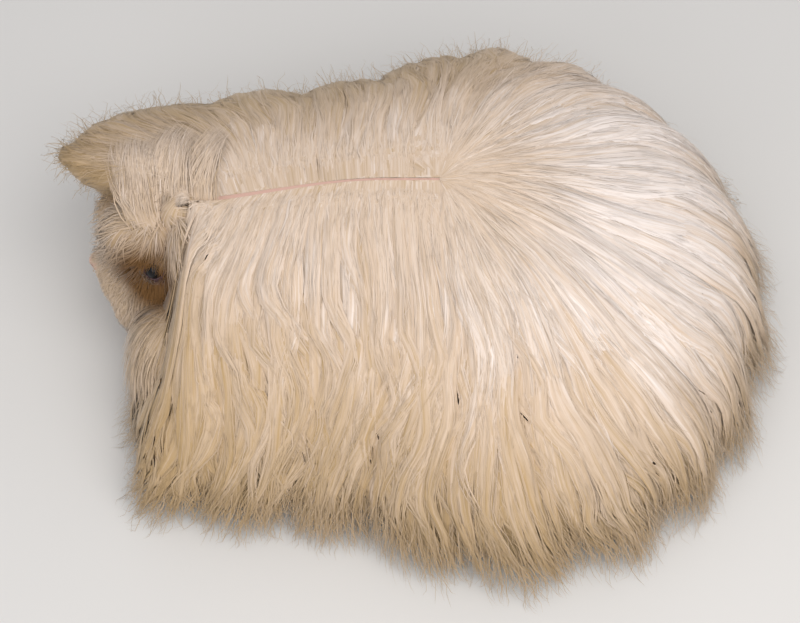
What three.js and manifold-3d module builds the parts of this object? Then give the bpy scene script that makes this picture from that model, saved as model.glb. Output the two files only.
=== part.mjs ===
// A life-size long-haired guinea pig standing square, head towards -X, +Z up, in millimetres.
// The coat parts along the spine, hangs to the floor on both flanks and fans out over the rump.
// The origin is at floor level, in the middle of the coat's plan.
import * as THREE from "three";
import { ParametricGeometry } from "three/addons/geometries/ParametricGeometry.js";
import { mergeVertices } from "three/addons/utils/BufferGeometryUtils.js";
import Module from "manifold-3d";

const wasm = await Module();
wasm.setup();
const { Manifold, Mesh: SolidMesh } = wasm;
const { PI, abs, cos, exp, hypot, max, min, sign, sin, sqrt } = Math;

// ---------------------------------------------------------------- driving dimensions
const GAP = 0.4; // between neighbouring pieces
const SEAT_SWELL = 3.5; // how much larger the coarse seat of a hidden body is cut
const COAT_TOP = 109; // the coat beside the parting, above the loin
const COAT_TOP_HEAD = 93; // the same, above the head
const COAT_FRONT = 123; // coat's front edge, ahead of the origin
const COAT_HALF_WIDTH = 105;
const LEFT_SPREAD = 9; // the hair of the left flank lies this much wider
const MIDDLE = [1.5, -4.1]; // middle of the coat's plan, moved to the origin at the end
const RUMP_CENTRE = 28; // middle of the round fan of hair over the rump
const RUMP_RADIUS = 132;
const CROWN_X = 9; // where the parting ends and the rump hair fans out
const PARTING_FRONT = -98; // where the parting starts, between the ears
const PARTING_DEPTH = 6;
const HAIR_SPREAD = 108; // how fast the hair's start moves along the parting as its direction turns
const LOCK_COUNT = 22; // broad locks round the hem
const LOCK_RELIEF = 5.5;
const HEM_SCALLOP = 7;
const HEM_CLEARANCE = 1; // the hair tips stop just above the floor
const BELLY_CAVITY = 0.74; // the hollow inside the hanging coat, as a share of its plan
const BELLY_CAVITY_HEIGHT = 62;
const FOREHAND_CUT = -50; // mane to side sweep

const EYE_RADIUS = 5.6;
const EYE = [-114.2, 17.9, 65.4];
const EAR = [-88, 31, 66];

// Stations of the head, nose to nape: x, top, bottom, half width, height of the widest place.
const HEAD_STATIONS = [
  [-145.5, 46, 44, 0.5, 45],
  [-144.6, 52, 37, 9, 45],
  [-142, 56.5, 32.5, 12.5, 44],
  [-137, 62, 28, 15.5, 42],
  [-129, 69.5, 24, 20, 41],
  [-118, 77, 20, 26, 40],
  [-106, 81, 17, 31, 39],
  [-93, 82.5, 15.5, 33.5, 40],
  [-80, 82.5, 17, 32, 44],
  [-70, 76, 28, 22, 52],
  [-66, 56, 50, 1, 53],
];
// Stations of the trunk under the coat, nape to rump, in the same columns.
const TRUNK_STATIONS = [
  [-78, 56, 48, 1, 52],
  [-75, 76, 30, 21, 50],
  [-64, 87, 20, 35, 48],
  [-42, 94, 16, 44, 46],
  [-12, 99, 14, 52, 44],
  [22, 100, 13.5, 57, 44],
  [52, 95, 14, 56, 44],
  [75, 81, 17, 45, 44],
  [88, 64, 25, 28, 43],
  [93, 46, 40, 2, 43],
];

// ---------------------------------------------------------------- small helpers
const mix = (a, b, k) => a + (b - a) * k;
const clamp = (v, low, high) => min(high, max(low, v));
const smooth = (low, high, v) => {
  const k = clamp((v - low) / (high - low), 0, 1);
  return k * k * (3 - 2 * k);
};
const rounded = (v) => Math.round(v * 50) / 50;
const bump = (v, centre, width) => exp(-(((v - centre) / width) ** 2));

// A smooth value between rows of a station table, at a place given in rows.
function between(stations, place) {
  const last = stations.length - 1;
  const row = clamp(Math.floor(place), 0, last - 1);
  const at = (i) => stations[clamp(i, 0, last)];
  const k = place - row;
  return stations[0].map((_, c) => {
    const [a, b, d, e] = [at(row - 1)[c], at(row)[c], at(row + 1)[c], at(row + 2)[c]];
    return b + 0.5 * k * (d - a + k * (2 * a - 5 * b + 4 * d - e + k * (3 * (b - d) + e - a)));
  });
}

// A closed geometry as a solid.
function solidOf(geometry) {
  const plain = new THREE.BufferGeometry().setAttribute("position", geometry.getAttribute("position"));
  plain.setIndex(geometry.index);
  const merged = mergeVertices(plain, 1e-4);
  const kept = [];
  const { array } = merged.index;
  for (let i = 0; i < array.length; i += 3) {
    const [a, b, c] = array.slice(i, i + 3);
    if (a !== b && b !== c && c !== a) kept.push(a, b, c);
  }
  const make = (triVerts) =>
    new Manifold(
      new SolidMesh({
        numProp: 3,
        vertProperties: merged.attributes.position.array,
        triVerts: new Uint32Array(triVerts),
      }),
    );
  const made = make(kept);
  return made.volume() > 0 ? made : make(kept.reverse());
}

// A solid from a function of two parameters that closes on itself.
const surface = (place, around, along) => solidOf(new ParametricGeometry(place, around, along));

// A body lofted through stations; swell grows it all round.
function loft(stations, around, along, swell = 0, roundness = 2.15) {
  const last = stations.length - 1;
  return surface(
    (u, v, target) => {
      const [x, top, bottom, width, middle] = between(stations, v * last);
      const a = u * 2 * PI;
      const side = sign(cos(a)) * abs(cos(a)) ** (2 / roundness);
      const rise = sign(sin(a)) * abs(sin(a)) ** (2 / roundness);
      const reach = rise > 0 ? top - middle : middle - bottom;
      const open = v > 0 && v < 1 ? 1 : 0; // the two ends close to a point
      const end = swell * (2 * v - 1);
      target.set(x + end, open * side * (width + swell), middle + open * rise * (reach + swell));
    },
    around,
    along,
  );
}

function ellipsoid([x, y, z], [rx, ry, rz], turn = [0, 0, 0], segments = 12) {
  const ball = new THREE.SphereGeometry(1, segments, Math.round(segments * 0.66));
  ball.scale(rx, ry, rz).rotateX(turn[0]).rotateY(turn[1]).rotateZ(turn[2]).translate(x, y, z);
  return solidOf(ball);
}

// A tapered limb between two points.
function limb(from, to, radiusFrom, radiusTo, sides = 8) {
  const a = new THREE.Vector3(...from);
  const b = new THREE.Vector3(...to);
  const length = a.distanceTo(b);
  const rod = new THREE.CylinderGeometry(radiusTo, radiusFrom, length, sides, 1);
  rod.rotateX(PI / 2);
  const turned = new THREE.Object3D();
  turned.position.copy(a).lerp(b, 0.5);
  turned.up.set(0, 1, 0.01);
  turned.lookAt(b);
  turned.updateMatrix();
  return solidOf(rod.applyMatrix4(turned.matrix));
}

function box([x0, y0, z0], [x1, y1, z1]) {
  const block = new THREE.BoxGeometry(x1 - x0, y1 - y0, z1 - z0);
  return solidOf(block.translate((x0 + x1) / 2, (y0 + y1) / 2, (z0 + z1) / 2));
}

const joined = (solids) => solids.reduce((whole, one) => whole.add(one));

// The largest of the bodies that a cut leaves.
function largest(solid) {
  return solid.decompose().reduce((best, one) => (one.volume() > best.volume() ? one : best));
}

// ---------------------------------------------------------------- the coat's outer form
// How far the hem reaches from the origin in a direction; angle 0 is +X, the rump.
function hemReach(angle) {
  const [c, s] = [cos(angle), sin(angle)];
  const rump = RUMP_CENTRE * c + sqrt(RUMP_RADIUS ** 2 - (RUMP_CENTRE * s) ** 2);
  const squareness = mix(5, 9, smooth(0, 0.4, -s));
  const across = (abs(s) / COAT_HALF_WIDTH) ** squareness;
  const front = ((abs(c) / COAT_FRONT) ** squareness + across) ** (-1 / squareness);
  return mix(front, rump, smooth(-0.5, 0.3, c)) + LEFT_SPREAD * smooth(0.2, 0.9, -s);
}

// Where on the parting the hair of that direction starts.
const partingStart = (angle) => clamp(HAIR_SPREAD * cos(angle), PARTING_FRONT, CROWN_X);
const crestHeight = (x) => mix(COAT_TOP_HEAD, COAT_TOP, smooth(-112, -15, x));

// A point of the coat: angle round the body, fall from the parting (0) to the hem (1).
function coatPoint(angle, fall, grow = 0) {
  const reach = hemReach(angle) + grow;
  const start = partingStart(angle);
  const quarter = (fall * PI) / 2;
  const out = sin(quarter) ** 0.94;
  const drop = cos(quarter) ** 0.96;
  const point = new THREE.Vector3(
    mix(start, reach * cos(angle), out),
    mix(0, reach * sin(angle), out),
    crestHeight(start) * drop,
  );
  // The right cheek hair is swept forward in a peak at mid height.
  const rightOnly = smooth(0, 0.3, sin(angle)) * smooth(0, 0.2, fall);
  const peak = bump(angle, 0.84 * PI, 0.32) * bump(fall, 0.46, 0.26) * rightOnly;
  point.x -= 47 * peak;
  point.y -= 6 * peak;
  point.z += 6 * peak;
  return point;
}

// Broad wavy locks: 1 on a ridge, 0 in the furrow between two.
function lockRidge(angle, fall) {
  const wave = 0.42 * sin(2.6 * fall * PI + 3 * angle) + 0.25 * sin(5 * angle + 4 * fall);
  const phase = (angle * LOCK_COUNT) / 2 + wave;
  return abs(sin(phase)) ** 0.7;
}

function coatForm(rows = 10, columns = 88) {
  return surface(
    (u, v, target) => {
      const angle = -PI + 2 * PI * u;
      const skirt = 1 - 1 / rows; // the last row closes the flat underside
      const fall = min(v / skirt, 1) ** 1.15;
      const point = coatPoint(angle, fall);
      const ridge = lockRidge(angle, fall);
      const depth = LOCK_RELIEF * smooth(0.04, 0.7, fall);
      const level = hypot(point.x - partingStart(angle), point.y);
      const outward = new THREE.Vector3(cos(angle) * fall, sin(angle) * fall, 1 - fall).normalize();
      point.addScaledVector(outward, depth * (ridge - 0.65));
      // Hem: each lock ends in a blunt point on the floor.
      const scallop = HEM_SCALLOP * smooth(0.8, 1, fall) * (ridge - 0.6);
      point.x += cos(angle) * scallop;
      point.y += sin(angle) * scallop;
      const behindFront = smooth(PARTING_FRONT - 14, PARTING_FRONT + 20, point.x);
      const onSpine = behindFront * (1 - smooth(CROWN_X - 10, CROWN_X + 12, point.x));
      point.z -= PARTING_DEPTH * onSpine * exp(-((level / 7) ** 2));
      if (v === 0) point.set(rounded(point.x), 0, rounded(point.z)); // both halves meet here
      if (v === 1) point.set(0, 0, 0);
      target.copy(point);
    },
    columns,
    rows,
  );
}

// ---------------------------------------------------------------- flesh
const BOTH = { left: -1, right: 1 };
const onSide = ([x, y, z], s) => [x, y * s, z];

function slab(x0, x1) {
  const far = 400;
  return box([x0, -far, -far], [x1, far, far]);
}

const aboveFloor = (solid, level = 0) => solid.trimByPlane([0, 0, 1], level);

// Head with its short fur: whisker pads, chin and full cheeks on the lofted skull.
function headForm(swell = 0) {
  // seats cut for a neighbour are coarser
  const [around, along, fine] = swell > 0 ? [11, 8, 6] : [15, 12, 7];
  const mass = (centre, radii, turn) => ellipsoid(centre, radii.map((r) => r + swell), turn, fine);
  const pieces = [loft(HEAD_STATIONS, around, along, swell), mass([-133, 0, 29.5], [9, 9, 6])];
  for (const s of Object.values(BOTH)) {
    pieces.push(mass([-134.5, 9 * s, 38.5], [10, 8.5, 10.5]));
    pieces.push(mass([-125, 17 * s, 29], [16, 12, 15]));
    pieces.push(mass([-111, 19 * s, 41], [19, 14, 18]));
    pieces.push(mass([-116, 16.5 * s, 71], [12, 6, 7], [0, 0.35, -0.16 * s]));
  }
  return joined(pieces);
}

function earForm(s, swell = 0) {
  const blade = ellipsoid([0, 0, 0], [15 + swell, 1.6 + swell, 14 + swell], [0, 0, 0], 9);
  const hollow = ellipsoid([0, 9.5, -1], [13, 8.7, 12], [0, 0, 0], 9);
  const tilt = 52;
  const turned = (swell > 0 ? blade : blade.subtract(hollow)).rotate([-tilt, 0, 22]);
  const placed = turned.translate(EAR);
  return s > 0 ? placed : placed.mirror([0, 1, 0]);
}

function forelegForm(s, swell = 0) {
  const shoulder = ellipsoid([-72, 34 * s, 38], [14 + swell, 10 + swell, 20 + swell], [0, 0, 0], 9);
  const forearm = limb(onSide([-76, 32, 28], s), onSide([-99, 25, 7], s), 8.5 + swell, 5.2 + swell);
  return joined([shoulder, forearm]);
}

function hindlegForm(s, swell = 0) {
  const thigh = ellipsoid([50, 43 * s, 38], [25 + swell, 14 + swell, 24 + swell], [0, 0.35, 0], 9);
  const shank = limb(onSide([60, 41, 26], s), onSide([56, 38, 7], s), 10 + swell, 6 + swell);
  return joined([thigh, shank]);
}

// Where each toe of a foot starts and ends, and where its claw ends.
function toeLines({ heel, pad, toes, spread, toeLength, claw }, s) {
  const [x, y] = pad;
  return Array.from({ length: toes }, (_, i) => {
    const turn = spread * (i / (toes - 1) - 0.5);
    const ahead = ([fromX, fromY], by, z) => [fromX - by * cos(turn), fromY + by * sin(turn), z];
    const start = [x - heel * 0.45, y * s + turn * heel * 0.55, 3];
    const tip = ahead(start, toeLength, 2);
    return { start, tip, root: ahead(tip, GAP + 0.3, 2), nail: ahead(tip, claw, 0.9) };
  });
}

// A foot flat on the floor: heel, wrist and toes that spread.
function footForm(foot, s, swell = 0) {
  const { heel, toeRadius } = foot;
  const [x, y] = foot.pad;
  const mass = (centre, radii) => ellipsoid(centre, radii.map((r) => r + swell), [0, 0, 0], 8);
  const pieces = [
    mass([x, y * s, 3.2], [heel, heel * 0.52, 5.2]),
    mass([x + heel * 0.7, y * s, 4], [heel * 0.62, heel * 0.45, 5.6]),
    ...toeLines(foot, s).map(({ start, tip }) =>
      limb(start, tip, toeRadius + 0.5 + swell, toeRadius + swell, 5)),
  ];
  return aboveFloor(joined(pieces), -swell);
}

const FOREFOOT = {
  heel: 10, pad: [-106, 24], toes: 4, spread: 0.9, toeLength: 9, toeRadius: 1.9, claw: 4.5,
};
const HINDFOOT = {
  heel: 15, pad: [44, 37], toes: 3, spread: 0.55, toeLength: 12, toeRadius: 2.3, claw: 5.5,
};

// ---------------------------------------------------------------- colours
const finish = (hex, roughness) => new THREE.MeshStandardMaterial({ color: hex, roughness, metalness: 0 });
const COAT = finish(0xe6d6bd, 0.85);
const FACE_FUR = finish(0xdcc8ac, 0.85);
const SKIN = finish(0xd8a692, 0.7);
const EYE_FINISH = finish(0x17110f, 0.12);
const NOSE_FINISH = finish(0xd39f92, 0.5);
const CLAW = finish(0xd9c3a8, 0.4);

const model = new THREE.Group();
model.name = "guinea_pig";

function addNode(name, solid, material) {
  const centred = largest(solid).translate([-MIDDLE[0], -MIDDLE[1], 0]);
  const { numProp, numVert, vertProperties, triVerts } = centred.getMesh();
  const places = new Float32Array(numVert * 3);
  for (let i = 0; i < numVert; i++) {
    places.set(vertProperties.subarray(i * numProp, i * numProp + 3), i * 3);
  }
  const geometry = new THREE.BufferGeometry();
  geometry.setAttribute("position", new THREE.BufferAttribute(places, 3));
  geometry.setIndex(new THREE.BufferAttribute(triVerts, 1));
  geometry.computeVertexNormals();
  const mesh = new THREE.Mesh(geometry, material);
  mesh.name = name;
  model.add(mesh);
}

// ---------------------------------------------------------------- assembly
const NECK_FRONT = -84;
const NECK_BACK = -64;
const CHEST_BACK = -20;
const BARREL_BACK = 44;
const sides = Object.entries(BOTH);

const trunkForm = (swell = 0) => loft(TRUNK_STATIONS, swell > 0 ? 12 : 16, swell > 0 ? 10 : 12, swell);
const eye = (s, swell = 0) => ellipsoid(onSide(EYE, s), Array(3).fill(EYE_RADIUS + swell));
const eyes = (swell) => joined(sides.map(([, s]) => eye(s, swell)));
const legs = (swell) => joined(sides.flatMap(([, s]) => [forelegForm(s, swell), hindlegForm(s, swell)]));
const bothFeet = (s, swell) => [footForm(FOREFOOT, s, swell), footForm(HINDFOOT, s, swell)];
const feet = (swell) => joined(sides.flatMap(([, s]) => bothFeet(s, swell)));
const ears = (swell) => joined(sides.map(([, s]) => earForm(s, swell)));

const noseForm = (swell = 0) =>
  ellipsoid([-145.2, 0, 46.5], [3.2 + swell, 6 + swell, 4 + swell], [0, 0, 0], 10);
const mouth = box([-160, -8, 32.6], [-135, 8, 33.8]).add(box([-160, -0.5, 33], [-143.2, 0.5, 46]));
const nostril = (s) => ellipsoid([-148, 3 * s, 46.4], [2, 0.9, 1.5], [0, 0, 0.5 * s], 8);
const nostrils = joined(sides.map(([, s]) => nostril(s)));

const headWhole = headForm();
const headSeat = headForm(SEAT_SWELL);
const trunkSeat = trunkForm(SEAT_SWELL);
const legSeat = legs(GAP);
const footSeat = feet(GAP);

const headSeats = joined([eyes(GAP), ears(GAP), noseForm(GAP), mouth, legSeat]);
addNode("head", headWhole.intersect(slab(-200, NECK_FRONT)).subtract(headSeats), FACE_FUR);
addNode("nose", noseForm().subtract(nostrils).intersect(slab(-200, -143)), NOSE_FINISH);
const nape = ellipsoid([-72, 0, 54], [18, 31, 32], [0, 0, 0], 9);
const neckSlab = slab(NECK_FRONT + GAP, NECK_BACK - GAP);
const neckWhole = joined([loft(HEAD_STATIONS, 14, 10), trunkForm(), nape]).intersect(neckSlab);
addNode("neck", neckWhole.subtract(ears(GAP)).subtract(legSeat), SKIN);

const TRUNK_PARTS = [
  ["chest", NECK_BACK, CHEST_BACK - GAP],
  ["barrel", CHEST_BACK, BARREL_BACK - GAP],
  ["hindquarters", BARREL_BACK, 200],
];
for (const [name, x0, x1] of TRUNK_PARTS) {
  addNode(name, trunkForm().intersect(slab(x0, x1)).subtract(legSeat), SKIN);
}
for (const [side, s] of sides) {
  addNode(`eye_${side}`, eye(s), EYE_FINISH);
  addNode(`ear_${side}`, earForm(s), SKIN);
  addNode(`foreleg_${side}`, forelegForm(s).subtract(footSeat), SKIN);
  addNode(`hindleg_${side}`, hindlegForm(s).subtract(footSeat), SKIN);
  for (const [place, foot] of Object.entries({ fore: FOREFOOT, hind: HINDFOOT })) {
    addNode(`${place}foot_${side}`, footForm(foot, s), SKIN);
    toeLines(foot, s).forEach(({ root, nail }, i) => {
      addNode(`claw_${place}_${side}_${i + 1}`, limb(root, nail, foot.toeRadius * 0.7, 0.4, 4), CLAW);
    });
  }
}

// The coat: one form, hollow under the belly, parted along the spine and into sweeps.
const cheekRuff = (s) => ellipsoid([-113, 36 * s, 30], [17, 17, 33], [0.42 * s, 0, 0], 10);
const cheekRuffs = joined(sides.map(([, s]) => cheekRuff(s)));
const rightFaceHair = ellipsoid([-126, 23, 50], [21, 14, 20], [0, 0, 0], 10);
const coatWhole = aboveFloor(joined([coatForm(), cheekRuffs, rightFaceHair]), HEM_CLEARANCE);
const hollow = ellipsoid(
  [RUMP_CENTRE - 27, 0, 0],
  [BELLY_CAVITY * 150, BELLY_CAVITY * COAT_HALF_WIDTH, BELLY_CAVITY_HEIGHT],
  [0, 0, 0],
  14,
);
const flesh = joined([
  headSeat,
  trunkSeat,
  ellipsoid([-72, 0, 54], [18 + SEAT_SWELL, 31 + SEAT_SWELL, 32 + SEAT_SWELL], [0, 0, 0], 8),
  legSeat,
  ears(GAP),
  eyes(GAP),
]);
const arches = sides.flatMap(([, s]) => [
  ellipsoid([-112, 24 * s, 0], [25, 12, 13], [0, 0, 0], 8),
  ellipsoid([40, 37 * s, 0], [26, 13, 14], [0, 0, 0], 8),
]);
const faceOpening = ellipsoid([-125, -32, 57], [25, 18, 25], [0, 0, 0.2], 10);
const coatShell = coatWhole.subtract(joined([hollow, faceOpening, flesh, ...arches]));

function wedge(grow = 0) {
  const far = 320;
  const fan = 0.9; // half angle of the rear fan, in radians
  const shape = new THREE.Shape([
    new THREE.Vector2(CROWN_X - grow, 0),
    new THREE.Vector2(CROWN_X - grow + far * cos(fan), -far * sin(fan)),
    new THREE.Vector2(CROWN_X - grow + far * cos(fan), far * sin(fan)),
  ]);
  const prism = new THREE.ExtrudeGeometry(shape, { depth: 300, bevelEnabled: false }).translate(0, 0, -100);
  return solidOf(prism);
}

addNode("rear_sweep", coatShell.intersect(wedge()), COAT);
const frontOfWedge = coatShell.subtract(wedge(GAP * 1.6));
for (const [side, s] of sides) {
  const [low, high] = s < 0 ? [-300, -GAP / 2] : [GAP / 2, 300];
  const half = box([-300, low, -50], [300, high, 300]);
  const coatHalf = frontOfWedge.intersect(half);
  addNode(`mane_${side}`, coatHalf.intersect(slab(-300, FOREHAND_CUT - GAP)), COAT);
  addNode(`side_sweep_${side}`, coatHalf.intersect(slab(FOREHAND_CUT, 300)), COAT);
}
const brow = ellipsoid([-117, 2, 68], [21, 20, 19], [0, 0.3, 0], 12);
const forelockCut = joined([headSeat, coatWhole.translate([-GAP, 0, 0]), coatWhole, eyes(2.5)]);
addNode("forelock", brow.trimByPlane([0.35, 0, 1], 33).subtract(forelockCut), COAT);

export default model;
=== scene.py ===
"""A life-size long-haired guinea pig: one skin, eyes, claws and a coat of solid strands, on a pale floor."""

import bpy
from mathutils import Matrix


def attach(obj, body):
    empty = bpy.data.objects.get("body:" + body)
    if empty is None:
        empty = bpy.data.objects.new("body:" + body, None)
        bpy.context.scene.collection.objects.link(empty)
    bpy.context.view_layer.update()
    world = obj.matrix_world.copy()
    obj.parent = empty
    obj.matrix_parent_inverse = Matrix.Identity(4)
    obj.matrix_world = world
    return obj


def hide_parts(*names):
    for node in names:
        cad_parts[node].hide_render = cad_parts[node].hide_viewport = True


bl_info = {
    "name": "Long-haired guinea pig",
    "version": (1, 0, 0),
    "blender": (4, 5, 0),
    "location": "View3D > Sidebar > Guinea pig",
    "description": "Builds a life-size long-haired guinea pig with its stage and camera",
    "category": "Object",
}

from math import pi

import bpy
import numpy as np
from bpy.props import FloatProperty, FloatVectorProperty, PointerProperty
from mathutils import Euler, Vector
from mathutils.bvhtree import BVHTree
from mathutils.kdtree import KDTree

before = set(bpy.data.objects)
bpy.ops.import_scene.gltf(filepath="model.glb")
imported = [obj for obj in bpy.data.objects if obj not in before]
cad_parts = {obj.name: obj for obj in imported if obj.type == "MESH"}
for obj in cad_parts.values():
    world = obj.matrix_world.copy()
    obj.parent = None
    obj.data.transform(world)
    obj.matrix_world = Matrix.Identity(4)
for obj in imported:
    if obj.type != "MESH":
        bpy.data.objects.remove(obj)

MM = 0.001
SIDES = {"left": -1, "right": 1}

# ---------------------------------------------------------------- driving sizes, in millimetres
MIDDLE = np.array([1.5, -4.1, 0.0])  # middle of the coat's plan in the working frame
COAT_TOP, COAT_TOP_HEAD = 109.0, 93.0
COAT_FRONT, COAT_HALF_WIDTH, LEFT_SPREAD = 123.0, 105.0, 9.0
RUMP_CENTRE, RUMP_RADIUS = 28.0, 132.0
CROWN_X, PARTING_FRONT = 9.0, -98.0
HAIR_SPREAD = 108.0  # how fast the hair's start moves along the parting as its direction turns
BROAD_LOCKS, LOCK_RELIEF, HEM_SCALLOP = 22, 5.5, 7.0
FAN = 0.9  # half angle of the rear fan of hair
PARTING_GAP = 0.9  # half the width of the bare line
EYE, EYE_RADIUS, SOCKET_GAP = (-114.2, 17.9, 65.4), 5.6, 0.25
NOSTRIL_Y, NOSTRIL_Z = 3.1, 46.2
EYE_FACES = (-0.26, 0.8, 0.46)  # the way an eye looks, with y outward
EAR, EAR_RADII, EAR_DISH = (-88, 31, 66), (14.5, 1.5, 13.5), 3.2
EAR_TURN = (-52 * pi / 180, 0, 22 * pi / 180)
WHORL = np.array([-110.0, -4.0, 82.0])  # where the hair of the forehead springs from
HEAD_COAT, TRUNK_COAT = 2.0, 2.0  # how deep the skin lies inside the solids
RIDGE_DEPTH, RIDGE_RADII = 19, (9, 22, 14.6)  # the low ridge of skin under the parting
PEAK_ANGLE, PEAK_FALL = 0.84 * pi, 0.46  # where the right cheek's hair is swept forward
PEAK_REACH = 47.0
COAT_RUN = 175.0  # length of the hair's way from the parting to the hem
HEM_RUN = 170.0  # and of its way on along the floor
# the lowest that each kind of piece lies over the floor
FLOOR_GAP = {"skin": 0.15, "mat": 1.0, "locks": 0.9, "strands": 0.8, "fringe": 0.6, "mass": 0.6, "fur": 0.5}

# x, top, bottom, half width, height of the widest place
HEAD_STATIONS = [
    (-145.5, 46, 44, 0.5, 45),
    (-144.6, 52, 37, 9, 45),
    (-142, 56.5, 32.5, 12.5, 44),
    (-137, 62, 28, 15.5, 42),
    (-129, 69.5, 24, 20, 41),
    (-118, 77, 20, 26, 40),
    (-106, 81, 17, 31, 39),
    (-93, 82.5, 15.5, 33.5, 40),
    (-80, 82.5, 17, 32, 44),
    (-70, 76, 28, 22, 52),
    (-66, 56, 50, 1, 53),
]
TRUNK_STATIONS = [
    (-78, 56, 48, 1, 52),
    (-75, 76, 30, 21, 50),
    (-64, 87, 20, 35, 48),
    (-42, 94, 16, 44, 46),
    (-12, 99, 14, 52, 44),
    (22, 100, 13.5, 57, 44),
    (52, 95, 14, 56, 44),
    (75, 81, 17, 45, 44),
    (88, 64, 25, 28, 43),
    (93, 46, 40, 2, 43),
]
# heel, pad x and y, toes, spread, toe length, toe radius, claw
FEET = {
    "fore": dict(heel=10, pad=(-106, 24), toes=4, spread=0.9, length=9, radius=1.9, claw=4.5),
    "hind": dict(heel=15, pad=(44, 37), toes=3, spread=0.55, length=12, radius=2.3, claw=5.5),
}


# ---------------------------------------------------------------- small helpers
def mix(a, b, k):
    return a + (b - a) * k


def smooth(low, high, v):
    k = np.clip((v - low) / (high - low), 0, 1)
    return k * k * (3 - 2 * k)


def bump(v, centre, width):
    return np.exp(-(((v - centre) / width) ** 2))


def unit(v):
    return v / np.maximum(np.linalg.norm(v, axis=-1, keepdims=True), 1e-9)


def turns_of(count):
    """Angles spaced evenly round a circle."""
    return np.arange(count) / count * 2 * pi


def inset_uv(u, v):
    """Places on an unwrap, kept a little clear of its border."""
    return np.stack([u, v], -1) * 0.96 + 0.02


def thinning(t):
    """Width of short hair along it, down to a fine point."""
    return 1 - 0.8 * smooth(0.4, 1, t)


def lift_off_floor(points, kind):
    points[..., 2] = np.maximum(points[..., 2], FLOOR_GAP[kind])


def smooth_shaded(mesh):
    mesh.polygons.foreach_set("use_smooth", [True] * len(mesh.polygons))


def mesh_object(name, vertices, faces, material=None):
    mesh = bpy.data.meshes.new(name)
    mesh.from_pydata([tuple(v) for v in vertices], [], faces)
    mesh.update()
    obj = bpy.data.objects.new(name, mesh)
    bpy.context.scene.collection.objects.link(obj)
    if material:
        mesh.materials.append(material)
    return obj


def belongs(obj, slot, *nodes):
    """Rides the piece on the body, in place of the solids that it stands for."""
    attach(obj, "root")
    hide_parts(*nodes)


# ---------------------------------------------------------------- the coat's outer form
def hem_reach(angle):
    """How far the hem reaches in a direction; angle 0 is +X, the rump."""
    c, s = np.cos(angle), np.sin(angle)
    rump = RUMP_CENTRE * c + np.sqrt(RUMP_RADIUS**2 - (RUMP_CENTRE * s) ** 2)
    square = mix(5, 9, smooth(0, 0.4, -s))
    front = ((abs(c) / COAT_FRONT) ** square + (abs(s) / COAT_HALF_WIDTH) ** square) ** (-1 / square)
    return mix(front, rump, smooth(-0.5, 0.3, c)) + LEFT_SPREAD * smooth(0.2, 0.9, -s)


def crest_height(x):
    """Height of the parting: lower over the head than over the crown."""
    return mix(COAT_TOP_HEAD, COAT_TOP, smooth(-112, -15, x))


def ridge_wave(angle, fall):
    """A slow wander that keeps the broad locks from running straight."""
    return 0.42 * np.sin(2.6 * fall * pi + 3 * angle) + 0.25 * np.sin(5 * angle + 4 * fall)


def coat_point(angle, fall, relief=1.0):
    """A point of the coat: angle round the body, fall from the parting (0) to the hem (1)."""
    reach = hem_reach(angle)
    start = np.clip(HAIR_SPREAD * np.cos(angle), PARTING_FRONT, CROWN_X)
    quarter = np.clip(fall, 0, 1) * pi / 2
    out = np.sin(quarter) ** 0.94
    drop = np.maximum(np.cos(quarter), 0) ** 0.96
    x = mix(start, reach * np.cos(angle), out)
    y = reach * np.sin(angle) * out
    z = crest_height(start) * drop
    # the right cheek's hair is swept forward in a peak at mid height
    peak = bump(angle, PEAK_ANGLE, 0.32) * bump(fall, PEAK_FALL, 0.26)
    peak = peak * smooth(0, 0.3, np.sin(angle)) * smooth(0, 0.2, fall)
    ridge = abs(np.sin(angle * BROAD_LOCKS / 2 + ridge_wave(angle, fall))) ** 0.7
    depth = relief * LOCK_RELIEF * smooth(0.04, 0.7, fall) * (ridge - 0.65)
    scallop = relief * HEM_SCALLOP * smooth(0.8, 1, fall) * (ridge - 0.6)
    beyond = np.maximum(fall - 1, 0) * HEM_RUN  # past the hem the hair lies outward on the floor
    away = unit(np.stack([np.cos(angle) * fall, np.sin(angle) * fall, np.maximum(1 - fall, 0)], -1))
    point = np.stack([x - PEAK_REACH * peak, y - 6 * peak, z + 6 * peak], -1) + away * depth[..., None]
    level = (scallop + beyond)[..., None] * np.stack([np.cos(angle), np.sin(angle), 0 * angle], -1)
    return point + level - MIDDLE


def coat_normal(angle, fall):
    """The way the coat's face looks."""
    step = 0.01
    fall = np.clip(fall, 0.03, 0.98)
    across = coat_point(angle + step, fall, 0.5) - coat_point(angle - step, fall, 0.5)
    down = coat_point(angle, fall + step, 0.5) - coat_point(angle, fall - step, 0.5)
    return unit(np.cross(down, across))


# ---------------------------------------------------------------- skin
def between(stations, place):
    """Smooth values between rows of a station table."""
    table = np.array(stations, float)
    last = len(table) - 1
    row = np.clip(np.floor(place).astype(int), 0, last - 1)
    k = (place - row)[:, None]
    a, b, d, e = (table[np.clip(row + i, 0, last)] for i in (-1, 0, 1, 2))
    return b + 0.5 * k * (d - a + k * (2 * a - 5 * b + 4 * d - e + k * (3 * (b - d) + e - a)))


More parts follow.
